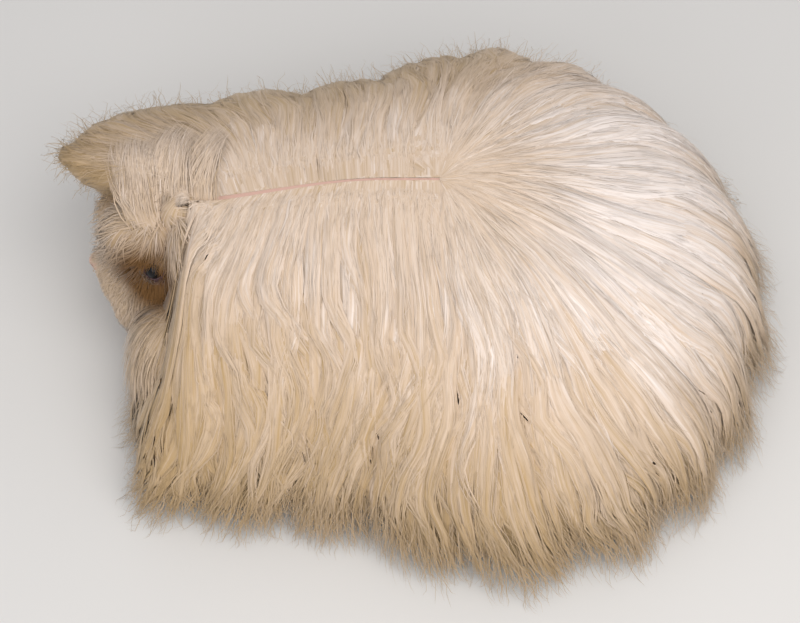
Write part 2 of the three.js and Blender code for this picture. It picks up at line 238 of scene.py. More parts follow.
def loft(stations, inset, around=64, along=80, roundness=2.15):
    """A closed body through the stations, drawn in by the inset."""
    place = np.linspace(0, len(stations) - 1, along)
    rows = between(stations, place)
    turn = turns_of(around)
    side = np.sign(np.cos(turn)) * abs(np.cos(turn)) ** (2 / roundness)
    rise = np.sign(np.sin(turn)) * abs(np.sin(turn)) ** (2 / roundness)
    share = np.linspace(1, -1, along) * inset
    vertices = []
    for (x, top, bottom, width, middle), shift in zip(rows, share):
        reach = np.where(rise > 0, top - middle, middle - bottom)
        y = side * max(width - inset, 0.2)
        z = middle + rise * np.maximum(reach - inset, 0.2)
        vertices.append(np.stack([np.full(around, x + shift), y, z], -1))
    vertices = np.concatenate(vertices)
    faces = []
    for i in range(along - 1):
        for j in range(around):
            a, b = i * around + j, i * around + (j + 1) % around
            faces.append((a, b, b + around, a + around))
    faces += [tuple(range(around))[::-1], tuple(range((along - 1) * around, along * around))]
    return vertices, faces


def ellipsoid(centre, radii, turn=(0, 0, 0), segments=32):
    """A closed ellipsoid, turned about its middle."""
    rings = segments // 2
    vertices, faces = [(0, 0, 1)], []
    for i in range(1, rings):
        polar = pi * i / rings
        for j in range(segments):
            around = 2 * pi * j / segments
            vertices.append((np.sin(polar) * np.cos(around), np.sin(polar) * np.sin(around), np.cos(polar)))
    vertices.append((0, 0, -1))
    for j in range(segments):
        faces.append((0, 1 + j, 1 + (j + 1) % segments))
        for i in range(rings - 2):
            a, b = 1 + i * segments + j, 1 + i * segments + (j + 1) % segments
            faces.append((a, a + segments, b + segments, b))
        low = 1 + (rings - 2) * segments
        faces.append((low + j, len(vertices) - 1, low + (j + 1) % segments))
    matrix = np.array(Euler(turn).to_matrix())
    return np.array(vertices) * np.array(radii) @ matrix.T + np.array(centre), faces


def limb(start, end, radius_start, radius_end, sides=20):
    """A tapered rod with round ends."""
    a, b = np.array(start, float), np.array(end, float)
    along = unit(b - a)
    side = unit(np.cross(along, (0.1, 1, 0.2)))
    up = np.cross(along, side)
    turns = turns_of(sides)
    ring = np.cos(turns)[:, None] * side + np.sin(turns)[:, None] * up
    rows = [(a, radius_start, polar) for polar in np.linspace(-pi / 2, 0, 5)[1:]]
    rows += [(b, radius_end, polar) for polar in np.linspace(0, pi / 2, 5)[:-1]]
    vertices = [a - along * radius_start]
    for centre, radius, polar in rows:
        vertices += list(centre + along * radius * np.sin(polar) + ring * radius * np.cos(polar))
    vertices.append(b + along * radius_end)
    faces = [(0, 1 + (j + 1) % sides, 1 + j) for j in range(sides)]
    for i in range(len(rows) - 1):
        for j in range(sides):
            k, n = 1 + i * sides + j, 1 + i * sides + (j + 1) % sides
            faces.append((k, n, n + sides, k + sides))
    low = 1 + (len(rows) - 1) * sides
    faces += [(low + j, low + (j + 1) % sides, len(vertices) - 1) for j in range(sides)]
    return np.array(vertices), faces


def toe_lines(foot, s):
    """Where each toe starts and ends and where its claw ends."""
    x, y = foot["pad"][0], foot["pad"][1] * s
    lines = []
    for i in range(foot["toes"]):
        turn = foot["spread"] * (i / (foot["toes"] - 1) - 0.5)
        ahead = np.array([-np.cos(turn), np.sin(turn), 0])
        start = np.array([x - foot["heel"] * 0.45, y + turn * foot["heel"] * 0.55, 3])
        tip = start + ahead * foot["length"] + (0, 0, -1)
        lines.append((start, tip, tip + ahead * foot["claw"] + (0, 0, -1.1)))
    return lines


# masses on the middle line: centre and radii
MIDDLE_MASSES = {
    "chin": ((-132, 0, 30.5), (8, 9, 5.5)),
    "muzzle": ((-127, 0, 38), (16, 19, 13)),
    "throat": ((-113, 0, 34), (20, 25, 18)),
    "neck": ((-72, 0, 54), (16, 29, 30)),
    "nose": ((-144.6, 0, 46.5), (3.2, 5.6, 3.8)),
}
# masses on each side of the head, measured over the coat
SIDE_MASSES = {
    "whisker_pad": ((-134.5, 9, 38.5), (10, 8.5, 10.5)),
    "jowl": ((-122, 14.5, 31.5), (17, 13, 15)),
    "cheek": ((-111, 19, 41), (19, 14, 18)),
}


def head_masses(s):
    """Whisker pad, jowl and cheek of one side."""
    return [
        ellipsoid(np.array(centre) * (1, s, 1), np.array(radii) - HEAD_COAT)
        for centre, radii in SIDE_MASSES.values()
    ]


def ear(s):
    """A thin petal that hangs outward and down."""
    half_length, _, half_height = EAR_RADII
    vertices, faces = ellipsoid((0, 0, 0), EAR_RADII, segments=40)
    dish = 1 - (vertices[:, 0] / half_length) ** 2 - (vertices[:, 2] / half_height) ** 2
    vertices[:, 1] -= EAR_DISH * np.clip(dish, 0, 1)
    turned = vertices @ np.array(Euler(EAR_TURN).to_matrix()).T
    return (turned + EAR) * (1, s, 1), faces


def eye_centre(s):
    """Middle of the left eye's ball for -1, of the right eye's for 1."""
    return np.array(EYE) * (1, s, 1)


def eye_axis(s):
    return unit(np.array(EYE_FACES) * (1, s, 1))


def eye_frame(s):
    """Outward, along the opening and up at one eye."""
    axis = eye_axis(s)
    ahead = unit(np.cross(axis, (0, 0, 1.0))) * s
    return axis, ahead, unit(np.cross(ahead, axis)) * s


def lids(s):
    """A ring of skin round the eye, narrower above and below than it is long."""
    axis, ahead, up = eye_frame(s)
    around, tube = 40, 14
    turn, roll = np.meshgrid(turns_of(around), turns_of(tube), indexing="ij")
    radial = np.cos(turn)[..., None] * ahead + np.sin(turn)[..., None] * up * 0.84
    centre = eye_centre(s) + axis * 3.4 + radial * 4.5
    thick = 1.25 + 0.25 * np.sin(turn)[..., None]
    ring = centre + thick * (np.cos(roll)[..., None] * unit(radial) + np.sin(roll)[..., None] * axis)
    index = np.arange(around * tube).reshape(around, tube)
    following = np.roll(index, -1, axis=0)
    corners = (index, following, np.roll(following, -1, axis=1), np.roll(index, -1, axis=1))
    return ring.reshape(-1, 3), [tuple(face) for face in np.stack(corners, -1).reshape(-1, 4).tolist()]


def skin_solids():
    """Every mass that the skin is drawn over."""
    solids = [loft(HEAD_STATIONS, HEAD_COAT), loft(TRUNK_STATIONS, TRUNK_COAT)]
    solids += [ellipsoid(centre, radii) for centre, radii in MIDDLE_MASSES.values()]
    # the skin stands up in a low ridge along the parting
    for x in range(-90, 12, 4):
        solids.append(ellipsoid((x, 0, crest_height(x) - RIDGE_DEPTH), RIDGE_RADII, segments=16))
    for s in SIDES.values():
        solids += head_masses(s) + [ear(s), lids(s)]
        solids.append(ellipsoid((-72, 34 * s, 38), (13, 9, 19)))
        solids.append(limb((-76, 32 * s, 28), (-99, 25 * s, 7), 7.6, 4.4))
        solids.append(ellipsoid((50, 43 * s, 38), (24, 13, 23), (0, 0.35, 0)))
        solids.append(limb((60, 41 * s, 26), (56, 38 * s, 7), 9, 5.2))
        for foot in FEET.values():
            x, y = foot["pad"][0], foot["pad"][1] * s
            heel = foot["heel"]
            solids.append(ellipsoid((x, y, 3.4), (heel, heel * 0.5, 4.6)))
            solids.append(ellipsoid((x + heel * 0.7, y, 4.2), (heel * 0.62, heel * 0.42, 5)))
            for start, tip, _ in toe_lines(foot, s):
                solids.append(limb(start, tip, foot["radius"] + 0.3, foot["radius"] - 0.2, 12))
    return solids


def evaluated_mesh(obj):
    depsgraph = bpy.context.evaluated_depsgraph_get()
    return bpy.data.meshes.new_from_object(obj.evaluated_get(depsgraph))


def vertex_array(mesh):
    flat = np.empty(len(mesh.vertices) * 3)
    mesh.vertices.foreach_get("co", flat)
    return flat.reshape(-1, 3)


def add_attribute(mesh, name, values):
    data = mesh.attributes.new(name, "FLOAT", "POINT").data
    data.foreach_set("value", np.asarray(values, np.float32).ravel())


def fuse_face(p, edges, rounds=30):
    """Melts the creases between the masses of the face into one form; eyes and nose keep their edges."""
    away_from_eyes = np.minimum(*(np.linalg.norm(p - eye_centre(s), axis=1) for s in SIDES.values()))
    nose = np.exp(-(((p - (-147, 0, 46)) / (4, 7, 5)) ** 2).sum(1))
    weight = smooth(-97, -106, p[:, 0]) * smooth(13, 18, p[:, 2]) * smooth(8.5, 12, away_from_eyes)
    weight = weight * (1 - nose)
    a, b = edges.T
    degree = np.maximum(np.bincount(np.concatenate([a, b]), minlength=len(p)), 1)[:, None]
    for _ in range(rounds):
        sums = [np.bincount(a, p[b, k], len(p)) + np.bincount(b, p[a, k], len(p)) for k in range(3)]
        total = np.stack(sums, -1)
        p = p + 0.6 * weight[:, None] * (total / degree - p)
    return p


def carve_face(p):
    """Works sockets, nostrils, mouth and the groove under the nose into the skin (working frame)."""
    for s in SIDES.values():
        centre, axis = eye_centre(s), eye_axis(s)
        offset = p - centre
        distance = np.linalg.norm(offset, axis=1)
        near = distance < EYE_RADIUS + SOCKET_GAP
        facing = (offset @ axis) / np.maximum(distance, 1e-6)
        push = near & (facing < 0.74)
        p[push] = centre + offset[push] / distance[push, None] * (EYE_RADIUS + SOCKET_GAP)
        sink = near & ~push
        p[sink] = centre + unit(offset[sink]) * (EYE_RADIUS - 1.2)
        pit = np.exp(-(((p - (-147.4, NOSTRIL_Y * s, NOSTRIL_Z)) / (1.6, 1.1, 1.0)) ** 2).sum(1))
        p[:, 0] += 2.2 * pit
    cleft = bump(p[:, 1], 0, 0.7) * smooth(33, 34, p[:, 2]) * smooth(45, 43, p[:, 2])
    cleft = cleft * smooth(-138, -141, p[:, 0])
    p[:, 0] += 1.4 * mouth_line(p, 0.9, 11) + 1.1 * cleft
    return p


def mouth_line(q, width, reach):
    """The curved line of the mouth (working frame)."""
    line = bump(q[:, 2], 33.4 + 0.02 * q[:, 1] ** 2, width)
    return line * smooth(-134, -137, q[:, 0]) * smooth(reach, reach - 3, abs(q[:, 1]))


def eye_distance(p):
    """Distance to the nearer eye in the row frame, in millimetres."""
    return np.minimum(*(np.linalg.norm(p - (eye_centre(s) - MIDDLE), axis=-1) for s in SIDES.values()))


def stain_at(p):
    """The rusty stain round the eyes, stronger before and below them; points in the row frame."""
    total = 0
    for s in SIDES.values():
        centre = eye_centre(s) - MIDDLE
        offset = (p - centre - (-4, 1.5 * s, -3)) / (18, 15, 13)
        tail = (p - centre - (3, 2 * s, -16)) / (12, 15, 14)
        total = total + 1.5 * np.exp(-((offset**2).sum(-1))) + 0.65 * np.exp(-((tail**2).sum(-1)))
    return np.clip(total, 0, 1)


class SkinShape:
    """The finished skin, kept for the fur that is rooted on it."""

    tree = None


def build_skin(settings, material):
    """Draws one skin over all the masses, carves the face and keeps the shape for the fur."""
    vertices, faces = [], []
    for solid_vertices, solid_faces in skin_solids():
        base = sum(len(v) for v in vertices)
        vertices.append(solid_vertices)
        faces += [tuple(base + k for k in face) for face in solid_faces]
    points = np.concatenate(vertices)
    lift_off_floor(points, "skin")
    skin = mesh_object("skin", points * MM, faces)
    remesh = skin.modifiers.new("one_skin", "REMESH")
    remesh.mode = "VOXEL"
    remesh.voxel_size = settings.skin_step
    remesh.use_smooth_shade = True
    soften = skin.modifiers.new("soften", "SMOOTH")
    soften.factor = 0.5
    soften.iterations = 4
    mesh = evaluated_mesh(skin)
    bpy.data.objects.remove(skin)
    edges = np.empty(len(mesh.edges) * 2, int)
    mesh.edges.foreach_get("vertices", edges)
    p = carve_face(fuse_face(vertex_array(mesh) / MM, edges.reshape(-1, 2)))
    lift_off_floor(p, "skin")
    p -= MIDDLE
    mesh.vertices.foreach_set("co", (p * MM).ravel())
    mesh.name = "skin"
    mesh.materials.clear()
    mesh.materials.append(material)
    add_attribute(mesh, "stain", stain_at(p))
    rims = np.exp(-((np.maximum(eye_distance(p) - EYE_RADIUS, 0) / 2.2) ** 2))
    # the lids' own dark rims, and painted shade in the nostrils and the mouth's line from dark_at
    add_attribute(mesh, "lid_and_pit_shade", np.maximum(rims, dark_at(p + MIDDLE)))
    add_attribute(mesh, "bare", bare_at(p))
    smooth_shaded(mesh)
    mesh.update()
    skin = bpy.data.objects.new("skin", mesh)
    bpy.context.scene.collection.objects.link(skin)
    flesh = ["head", "nose", "neck", "chest", "barrel", "hindquarters"]
    paired = ("ear", "foreleg", "hindleg", "forefoot", "hindfoot")
    flesh += [f"{part}_{side}" for side in SIDES for part in paired]
    belongs(skin, "skin", *flesh)
    polygons = [tuple(poly.vertices) for poly in mesh.polygons]
    SkinShape.tree = BVHTree.FromPolygons([Vector(v) for v in p], polygons)
    return skin


def dark_at(q):
    """Where the nostrils and the line of the mouth are painted dark: painted shade in their pits and crease.
    """
    offsets = [(q - (-146, NOSTRIL_Y * s, NOSTRIL_Z)) / (3, 1.3, 1.1) for s in SIDES.values()]
    pits = [np.exp(-(offset**2).sum(-1)) for offset in offsets]
    return np.maximum(np.maximum(*pits), 0.7 * mouth_line(q, 0.8, 10))


def bare_at(p):
    """Where the skin shows pink: nose, lips, ears, feet and the parting."""
    q = p + MIDDLE
    nose = nose_share(q)
    lips = bump(q[:, 2], 33, 3) * smooth(-136, -141, q[:, 0])
    feet = smooth(9, 5, q[:, 2])
    parting = bump(q[:, 1], 0, 9) * smooth(70, 80, q[:, 2]) * smooth(-104, -90, q[:, 0])
    return np.clip(nose + 0.7 * lips + feet + parting, 0, 1)


# ---------------------------------------------------------------- building joined tufts
def skin_patch(uv, local, size=0.003):
    """Each tuft's own small patch at its root's place on the unwrap."""
    return np.clip(uv[:, None] + size * (local[None] - 0.5), 0, 1).reshape(-1, 2)


def joined_mesh(name, points, quads, tris, material):
    """Copies of one layout of faces over points (copies, per copy, 3) in mm, and the corners' points."""
    n, per, _ = points.shape
    base = (np.arange(n) * per)[:, None]
    quad_loops = (np.array(quads).ravel()[None] + base).ravel()
    tri_loops = (np.array(tris).ravel()[None] + base).ravel()
    loops = np.concatenate([quad_loops, tri_loops]).astype(np.int32)
    n_quads, n_tris = n * len(quads), n * len(tris)
    starts = np.concatenate([np.arange(n_quads) * 4, n_quads * 4 + np.arange(n_tris) * 3]).astype(np.int32)
    mesh = bpy.data.meshes.new(name)
    mesh.vertices.add(n * per)
    mesh.vertices.foreach_set("co", (points * MM).astype(np.float32).ravel())
    mesh.loops.add(len(loops))
    mesh.loops.foreach_set("vertex_index", loops)
    mesh.polygons.add(len(starts))
    mesh.polygons.foreach_set("loop_start", starts)
    mesh.polygons.foreach_set("use_smooth", np.ones(len(starts), bool))
    mesh.update(calc_edges=True)
    mesh.materials.append(material)
    obj = bpy.data.objects.new(name, mesh)
    bpy.context.scene.collection.objects.link(obj)
    return obj, loops


def set_uv(mesh, name, uv, loops):
    mesh.uv_layers.new(name=name).data.foreach_set("uv", uv[loops].astype(np.float32).ravel())


class Strands:
    """Tapered strands: paths (n, s, 3) in mm, the face they shade with, half widths, roots' uv and tone."""

    def __init__(self, path, normal, width, uv, tone):
        self.path, self.normal, self.width, self.uv, self.tone = path, normal, width, uv, tone

    def take(self, chosen):
        every = (self.path, self.normal, self.width, self.uv, self.tone)
        return Strands(*(values[chosen] for values in every))


def strand_object(name, strands, material, flat=0.35, own=0.2):
    """Closed three-sided strands that end in points; own is the share of their roundness in the shading."""
    n, s, _ = strands.path.shape
    tangent = unit(np.gradient(strands.path, axis=1))
    side = unit(np.cross(tangent, strands.normal))
    up = np.cross(side, tangent)
    width = strands.width[..., None]
    corners = [side * width - up * width * flat, -side * width - up * width * flat, up * width * flat]
    rings = np.stack([strands.path + c for c in corners], axis=2)[:, :-1]
    per = 3 * (s - 1) + 1
    points = np.concatenate([rings.reshape(n, -1, 3), strands.path[:, -1:]], axis=1)
    quads = []
    for i in range(s - 2):
        for j in range(3):
            a, b = 3 * i + j, 3 * i + (j + 1) % 3
            quads.append((a, b, b + 3, a + 3))
    last = 3 * (s - 2)
    tris = [(0, 2, 1)] + [(last + j, last + (j + 1) % 3, per - 1) for j in range(3)]
    obj, loops = joined_mesh(name, points, quads, tris, material)
    mesh = obj.data
    shade = np.stack([strands.normal * (1 - own) + own * unit(c) for c in (side, -side, up)], axis=2)[:, :-1]
    shade = np.concatenate([shade.reshape(n, -1, 3), strands.normal[:, -1:]], axis=1)
    mesh.normals_split_custom_set_from_vertices(unit(shade).reshape(-1, 3))
    ring_place = np.linspace(0, 1, s)[:-1]
    local_u = np.concatenate([np.tile([0.0, 1.0, 0.5], s - 1), [0.5]])
    local_v = np.concatenate([np.repeat(ring_place, 3), [1.0]])
    set_uv(mesh, "OFBake", skin_patch(strands.uv, np.stack([local_u, local_v], -1)), loops)
    tone = np.concatenate([np.repeat(strands.tone[:, :-1], 3, axis=1), strands.tone[:, -1:]], axis=1)
    add_attribute(mesh, "tone", tone)
    add_attribute(mesh, "stain", stain_at(points))
    return obj


# ---------------------------------------------------------------- the long coat
LOCK_DEPTH = 8.0  # how far under the coat's face a lower lock comes up from
# height and x of the mane's front edge on the left of the face
CURTAIN = ((0, -150), (8, -131), (22, -122), (36, -108), (52, -98.5), (66, -93.5), (80, -90), (95, -87))
CURTAIN_DEPTH, CURTAIN_ROLL = 8.0, 14.0
SIDE_END = 2.05  # angle where the side sweeps meet the manes
ROOTED_SHARE = 0.26  # of the strands, those that start at the parting
LAST_END = 0.955  # furthest along the fall that a lock ends
MAT_ENDS = (-2.65, 2.5)  # angles where the dense hair under the locks stops, short of the face
MAT_GIRTH = 70.0  # how far its streaks are spread across, in mm for one radian

REGIONS = {
    "rear_sweep": (-FAN, FAN),
    "side_sweep_left": (-SIDE_END, -FAN),
    "side_sweep_right": (FAN, SIDE_END),
    "mane_left": (-pi, -SIDE_END),
    "mane_right": (SIDE_END, pi),
}
# start and end along the fall, width in mm, height in the coat in mm
TIERS = [
    (0.55, 1.0, 13, -5.2),
    (0.3, 0.9, 13, -5.0),
    (0.0, 0.66, 13, -4.6),
    (0.0, 0.97, 12, -3.8),
    (0.0, 0.8, 11, -3.0),
    (0.42, 1.01, 10, -2.6),
    (0.0, 0.6, 10, -2.2),
    (0.18, 0.92, 9, -1.8),
    (0.0, 0.42, 9, -1.4),
    (0.3, 1.0, 8, -1.0),
    (0.0, 0.75, 8, -0.8),
]


def girth_at(angle, fall):
    """How far a point of the coat moves for one radian of angle, in mm."""
    step = 0.01
    across = coat_point(angle + step, fall, 0) - coat_point(angle - step, fall, 0)
    return np.linalg.norm(across, axis=-1) / (2 * step)


def clear_of_face(p, seed, across):
    """Hair that would hang over the left side of the face is drawn back to a soft, uneven front edge."""
    height, edge = np.array(CURTAIN).T
    uneven = 3.4 + 3.5 * smooth(60, 25, p[..., 2])
    front = np.interp(p[..., 2], height, edge) - MIDDLE[0] + uneven * np.sin(seed * 5.3 + 0.9 * across)
    over = np.maximum(front - p[..., 0], 0)
    kept = CURTAIN_DEPTH * (1 - np.exp(-over / CURTAIN_DEPTH)) - 0.12 * over * np.sin(seed * 9.1)
    left = smooth(2, -12, p[..., 1])
    drawn = (over - kept) * left
    rolled = CURTAIN_ROLL * (1 - np.exp(-over / CURTAIN_DEPTH)) * left * smooth(6, 30, p[..., 2])
    return p + np.stack([drawn, rolled - 0.1 * drawn, 0 * drawn], -1)


def plan_locks(rng, region):
    """The locks of one region, side by side in overlapping tiers; every entry is one array over the locks."""
    low, high = REGIONS[region]
    rump = region == "rear_sweep"
    rows = []
    spread = np.linspace(low, high, 24)
    for start, end, width, height in TIERS:
        middle = girth_at(spread, np.full(len(spread), mix(start, end, 0.55))).mean()
        count = max(int((high - low) * middle / (width * 0.72)), 3)
        angle = low + (high - low) * (np.arange(count) + 0.5 + rng.normal(0, 0.3, count)) / count
        first = np.maximum(start + rng.normal(0, 0.04, count), 0.1) * (start > 0)
        last = np.minimum(end + rng.normal(0, 0.06, count), LAST_END)
        size = width * rng.uniform(0.75, 1.3, count)
        rows.append(np.stack([angle, first, last, size, height + rng.normal(0, 0.4, count)], -1))
    angle, start, end, width, height = np.concatenate(rows).T
    n = len(angle)
    calm = 0.4 if rump else 1.0
    return dict(
        angle=angle,
        start=start,
        end=end,
        width=width * (1.2 if rump else 1),
        height=height * (0.65 if rump else 0.85),
        thick=width * rng.uniform(0.1, 0.22, n) * (0.38 if rump else 0.8),
        phase=rng.uniform(0, 2 * pi, n),
        wave=np.minimum(rng.gamma(3.0, 1.0, n), 4.6) * calm,
        turns=rng.uniform(2.2, 3.6, n),
        # plus 0.02 of the height: deeper locks are painted darker, painted shade in the depth of the coat
        tone=np.clip(rng.normal(0, 0.07, n), -0.15, 0.1) + 0.02 * height,
        seed=rng.uniform(0, 100, n),
    )


def lock_profile(locks, t, loose=0.0):
    """Shares of a lock's width and thickness along it: a flat sheet at the parting, rounder lower down."""
    fall = locks["start"][:, None] + (locks["end"] - locks["start"])[:, None] * t
    deep = (locks["start"] > 0)[:, None] * 1.0
    width = mix(0.8, 0.2, deep) + mix(0.2, 0.8, deep) * smooth(0, 0.3, t)
    taper = 1 - (1 - 0.45 * loose) * smooth(0.45, 1.0, t)
    return width * taper, (0.2 + 0.8 * smooth(0.08, 0.5, fall)) * taper * (1 - 0.5 * smooth(0.8, 1, fall))


def lay(locks, t, across, above, loose=0.0):
    """Points in locks: t along, across from -1 to 1, above the middle in mm; loose hair spreads out."""
    column = {k: v[:, None] for k, v in locks.items()}
    fall = column["start"] + (column["end"] - column["start"]) * t
    girth = girth_at(column["angle"] + 0 * fall, fall)
    half = np.minimum(column["width"] / 2 * lock_profile(locks, t, loose)[0] + 0.15, 0.17 * girth + 0.4)
    drift = 2 * ridge_wave(column["angle"], fall) / BROAD_LOCKS * smooth(0, 0.3, fall)
    swing = np.sin(2 * pi * fall * column["turns"] + column["phase"])
    swing = swing + 0.25 * np.sin(2 * pi * fall * column["turns"] * 2.1 + column["phase"] * 1.7)
    sway = column["wave"] * swing * smooth(0.08, 0.45, fall)
    angle = column["angle"] - drift + (sway + across * half) / np.maximum(girth, 6)
    surface = coat_point(angle, fall)
    normal = coat_normal(angle, fall)
    # at the parting the hair springs from the skin, a little off the line, and rises to the coat's face
    parted = np.exp(-((fall / 0.035) ** 2))
    height = column["height"] * smooth(0.02, 0.3, fall) + above * mix(1, 0.6, parted) - 4.6 * parted
    place = surface + normal * height[..., None]
    place[..., 1] += PARTING_GAP * np.sign(np.sin(angle)) * parted * smooth(0, 0.35, abs(np.sin(angle)))
    sunk = (column["start"] > 0) * LOCK_DEPTH * (1 - smooth(0, 0.22, t))
    place = clear_of_face(place - normal * sunk[..., None], column["seed"], across)
    lift_off_floor(place, "locks")
    return place, normal, fall, angle


def pick(locks, owner):
    """The chosen locks, one for each owner."""
    return {k: v[owner] for k, v in locks.items()}


def inside_head(p):
    """Whether points lie inside the head, where no long hair shows."""
    q = p + MIDDLE
    table = np.array(HEAD_STATIONS, float)
    top, bottom, width, middle = (np.interp(q[..., 0], table[:, 0], table[:, k]) for k in (1, 2, 3, 4))
    reach = np.where(q[..., 2] > middle, top - middle, middle - bottom)
    return (q[..., 1] / width) ** 2 + ((q[..., 2] - middle) / np.maximum(reach, 1)) ** 2 < 0.95


def visible_locks(locks):
    """The locks that don't lie mostly inside the head."""
    t = np.linspace(0.2, 1, 7)[None]
    place, _, _, _ = lay(locks, t, 0 * t, 0 * t)
    return pick(locks, inside_head(place).mean(1) < 0.55)


def tone_of(locks, angle, fall, t, strand):
    """0 is golden beige and 1 near white: hair low on the flanks is golden, the rump is palest.

    pale is the white spread over the rump, partly its own paler hair and partly a painted highlight on its
    top, and low down it turns negative, painted shade at the rump's rim; golden is the low left flank, partly
    its own golden colour and partly painted shade lower down; shade is painted shade on the right side and
    the manes;
    hem darkens the hair towards the hem, partly its own deeper colour and partly painted shade at the
    outline.
    """
    base = mix(0.5, 0.55, smooth(0.02, 0.25, fall))
    own = locks["tone"][:, None] * smooth(0, 0.3, fall)
    # pale: paler hair over the rump with a painted highlight on its top; low down it turns negative, painted
    # shade at the rump's rim
    pale = bump(angle, -0.1, 0.85) * 0.38 * smooth(0.1, 0.35, fall) * (1 - 1.5 * smooth(0.5, 0.9, fall))
    # golden: the low left flank's own golden colour, and partly painted shade lower down on that side
    golden = bump(angle, -1.5, 1.0) * 0.4 * smooth(0.2, 0.75, fall)
    # painted shade: the right (far) side, the right mane and the left mane's front are darkened where less
    # light falls
    shade = 0.55 * smooth(0.5, 1.5, angle) + 0.2 * smooth(2.2, 2.9, angle) + 0.36 * smooth(-1.8, -2.6, angle)
    shade = shade * smooth(0.08, 0.5, fall)
    # hem: darker towards the hem, partly the hair's own deeper colour and partly painted shade at the outline
    hem = 0.16 * smooth(0.65, 1, fall)
    return np.clip(base + own + strand + 0.06 * smooth(0, 0.6, t) + pale - golden - shade - hem, 0, 1)


def coat_mat(name, region, material, depth=6.0, thick=1.2, columns=30, rows=24):
    """The dense hair under the locks: a closed sheet that backs the gaps between them."""
    low, high = REGIONS[region]
    first, last = max(low, MAT_ENDS[0]), min(high, MAT_ENDS[1])
    angle, fall = np.meshgrid(np.linspace(first, last, columns), np.linspace(0.12, 0.92, rows), indexing="ij")
    normal = coat_normal(angle, fall)
    layers = []
    for sunk in (depth, depth + thick):
        place = clear_of_face(coat_point(angle, fall) - normal * sunk, 0 * angle, 0 * angle)
        lift_off_floor(place, "mat")
        layers.append(place.reshape(-1, 3))
    points = np.concatenate(layers)
    index = np.arange(columns * rows).reshape(columns, rows)
    outer = np.stack([index[:-1, :-1], index[:-1, 1:], index[1:, 1:], index[1:, :-1]], -1).reshape(-1, 4)
    border = np.concatenate([index[:, 0], index[-1, 1:], index[-2::-1, -1], index[0, -2:0:-1]])
    following = np.roll(border, -1)
    deeper = columns * rows
    walls = np.stack([border, following, following + deeper, border + deeper], -1)
    quads = np.concatenate([outer, outer[:, ::-1] + deeper, walls])
    obj, loops = joined_mesh(name, points[None], quads, [], material)
    place = inset_uv((angle - low) / (high - low), fall).reshape(-1, 2)
    lie = np.stack([angle * MAT_GIRTH, fall * COAT_RUN], -1).reshape(-1, 2)
    set_uv(obj.data, "OFBake", np.tile(place, (2, 1)), loops)
    set_uv(obj.data, "lie", np.tile(lie, (2, 1)), loops)
    # the sheet is painted 0.12 darker than the locks' tone: painted shade for the hair deep in the gaps
    # between them
    painted_shade_tone = {"tone": np.full(columns, -0.12)}
    add_attribute(obj.data, "tone", np.tile(tone_of(painted_shade_tone, angle, fall, 0 * fall, 0).ravel(), 2))
    add_attribute(obj.data, "stain", stain_at(points))
    return obj


def lock_object(name, locks, region, material, around=8, along=15):
    """The locks' own bodies: flattened, ridged wisps that taper to points."""
    n = len(locks["angle"])
    turn = turns_of(around)
    t = (np.linspace(0, 1, along + 1)[:-1]) ** 0.9
    place_t, place_turn = np.meshgrid(t, turn, indexing="ij")
    place_t, place_turn = place_t.ravel()[None], place_turn.ravel()[None]
    seed = locks["seed"][:, None]
    ridges = 1 + 0.1 * np.sin(4 * place_turn + seed + 3 * place_t)
    round_it = np.sin(place_turn) * np.where(np.sin(place_turn) > 0, 1.0, 0.6)
    above = round_it * ridges * (locks["thick"][:, None] * lock_profile(locks, place_t)[1] + 0.1)
    points, normal, fall, angle = lay(locks, place_t + 0 * seed, np.cos(place_turn) * ridges, above)
    ones = np.ones((n, 1))
    tip, tip_normal, _, _ = lay(locks, ones, 0 * ones, 0 * ones)
    centre, _, _, _ = lay(locks, place_t + 0 * seed, 0 * place_turn, 0 * above)
    shade = unit(normal + 0.28 * unit(points - centre))
    points = np.concatenate([points, tip], axis=1)
    quads = []
    for i in range(along - 1):
        for j in range(around):
            a, b = i * around + j, i * around + (j + 1) % around
            quads.append((a, b, b + around, a + around))
    last = (along - 1) * around
    tris = [(last + j, last + (j + 1) % around, along * around) for j in range(around)]
    tris += [(0, j + 1, j) for j in range(1, around - 1)]
    obj, loops = joined_mesh(name, points, quads, tris, material)
    shade = np.concatenate([shade, tip_normal], axis=1)
    obj.data.normals_split_custom_set_from_vertices(shade.reshape(-1, 3))
    low, high = REGIONS[region]
    uv = inset_uv((locks["angle"] - low) / (high - low), locks["start"])
    local = np.stack([np.append(place_turn / (2 * pi), 0.5), np.append(place_t, 1.0)], -1)
    set_uv(obj.data, "OFBake", skin_patch(uv, local), loops)
    length = (locks["end"] - locks["start"])[:, None] * COAT_RUN
    across = np.minimum(place_turn, 2 * pi - place_turn) / pi * locks["width"][:, None]
    lie = np.stack([across + seed * 7, place_t * length + seed * 31], -1)
    lie = np.concatenate([lie, lie[:, -1:]], axis=1)
    set_uv(obj.data, "lie", lie.reshape(-1, 2), loops)
    tone = tone_of(locks, angle, fall, place_t, 0)
    add_attribute(obj.data, "tone", np.concatenate([tone, tone[:, -1:]], axis=1))
    add_attribute(obj.data, "stain", stain_at(points))
    return obj


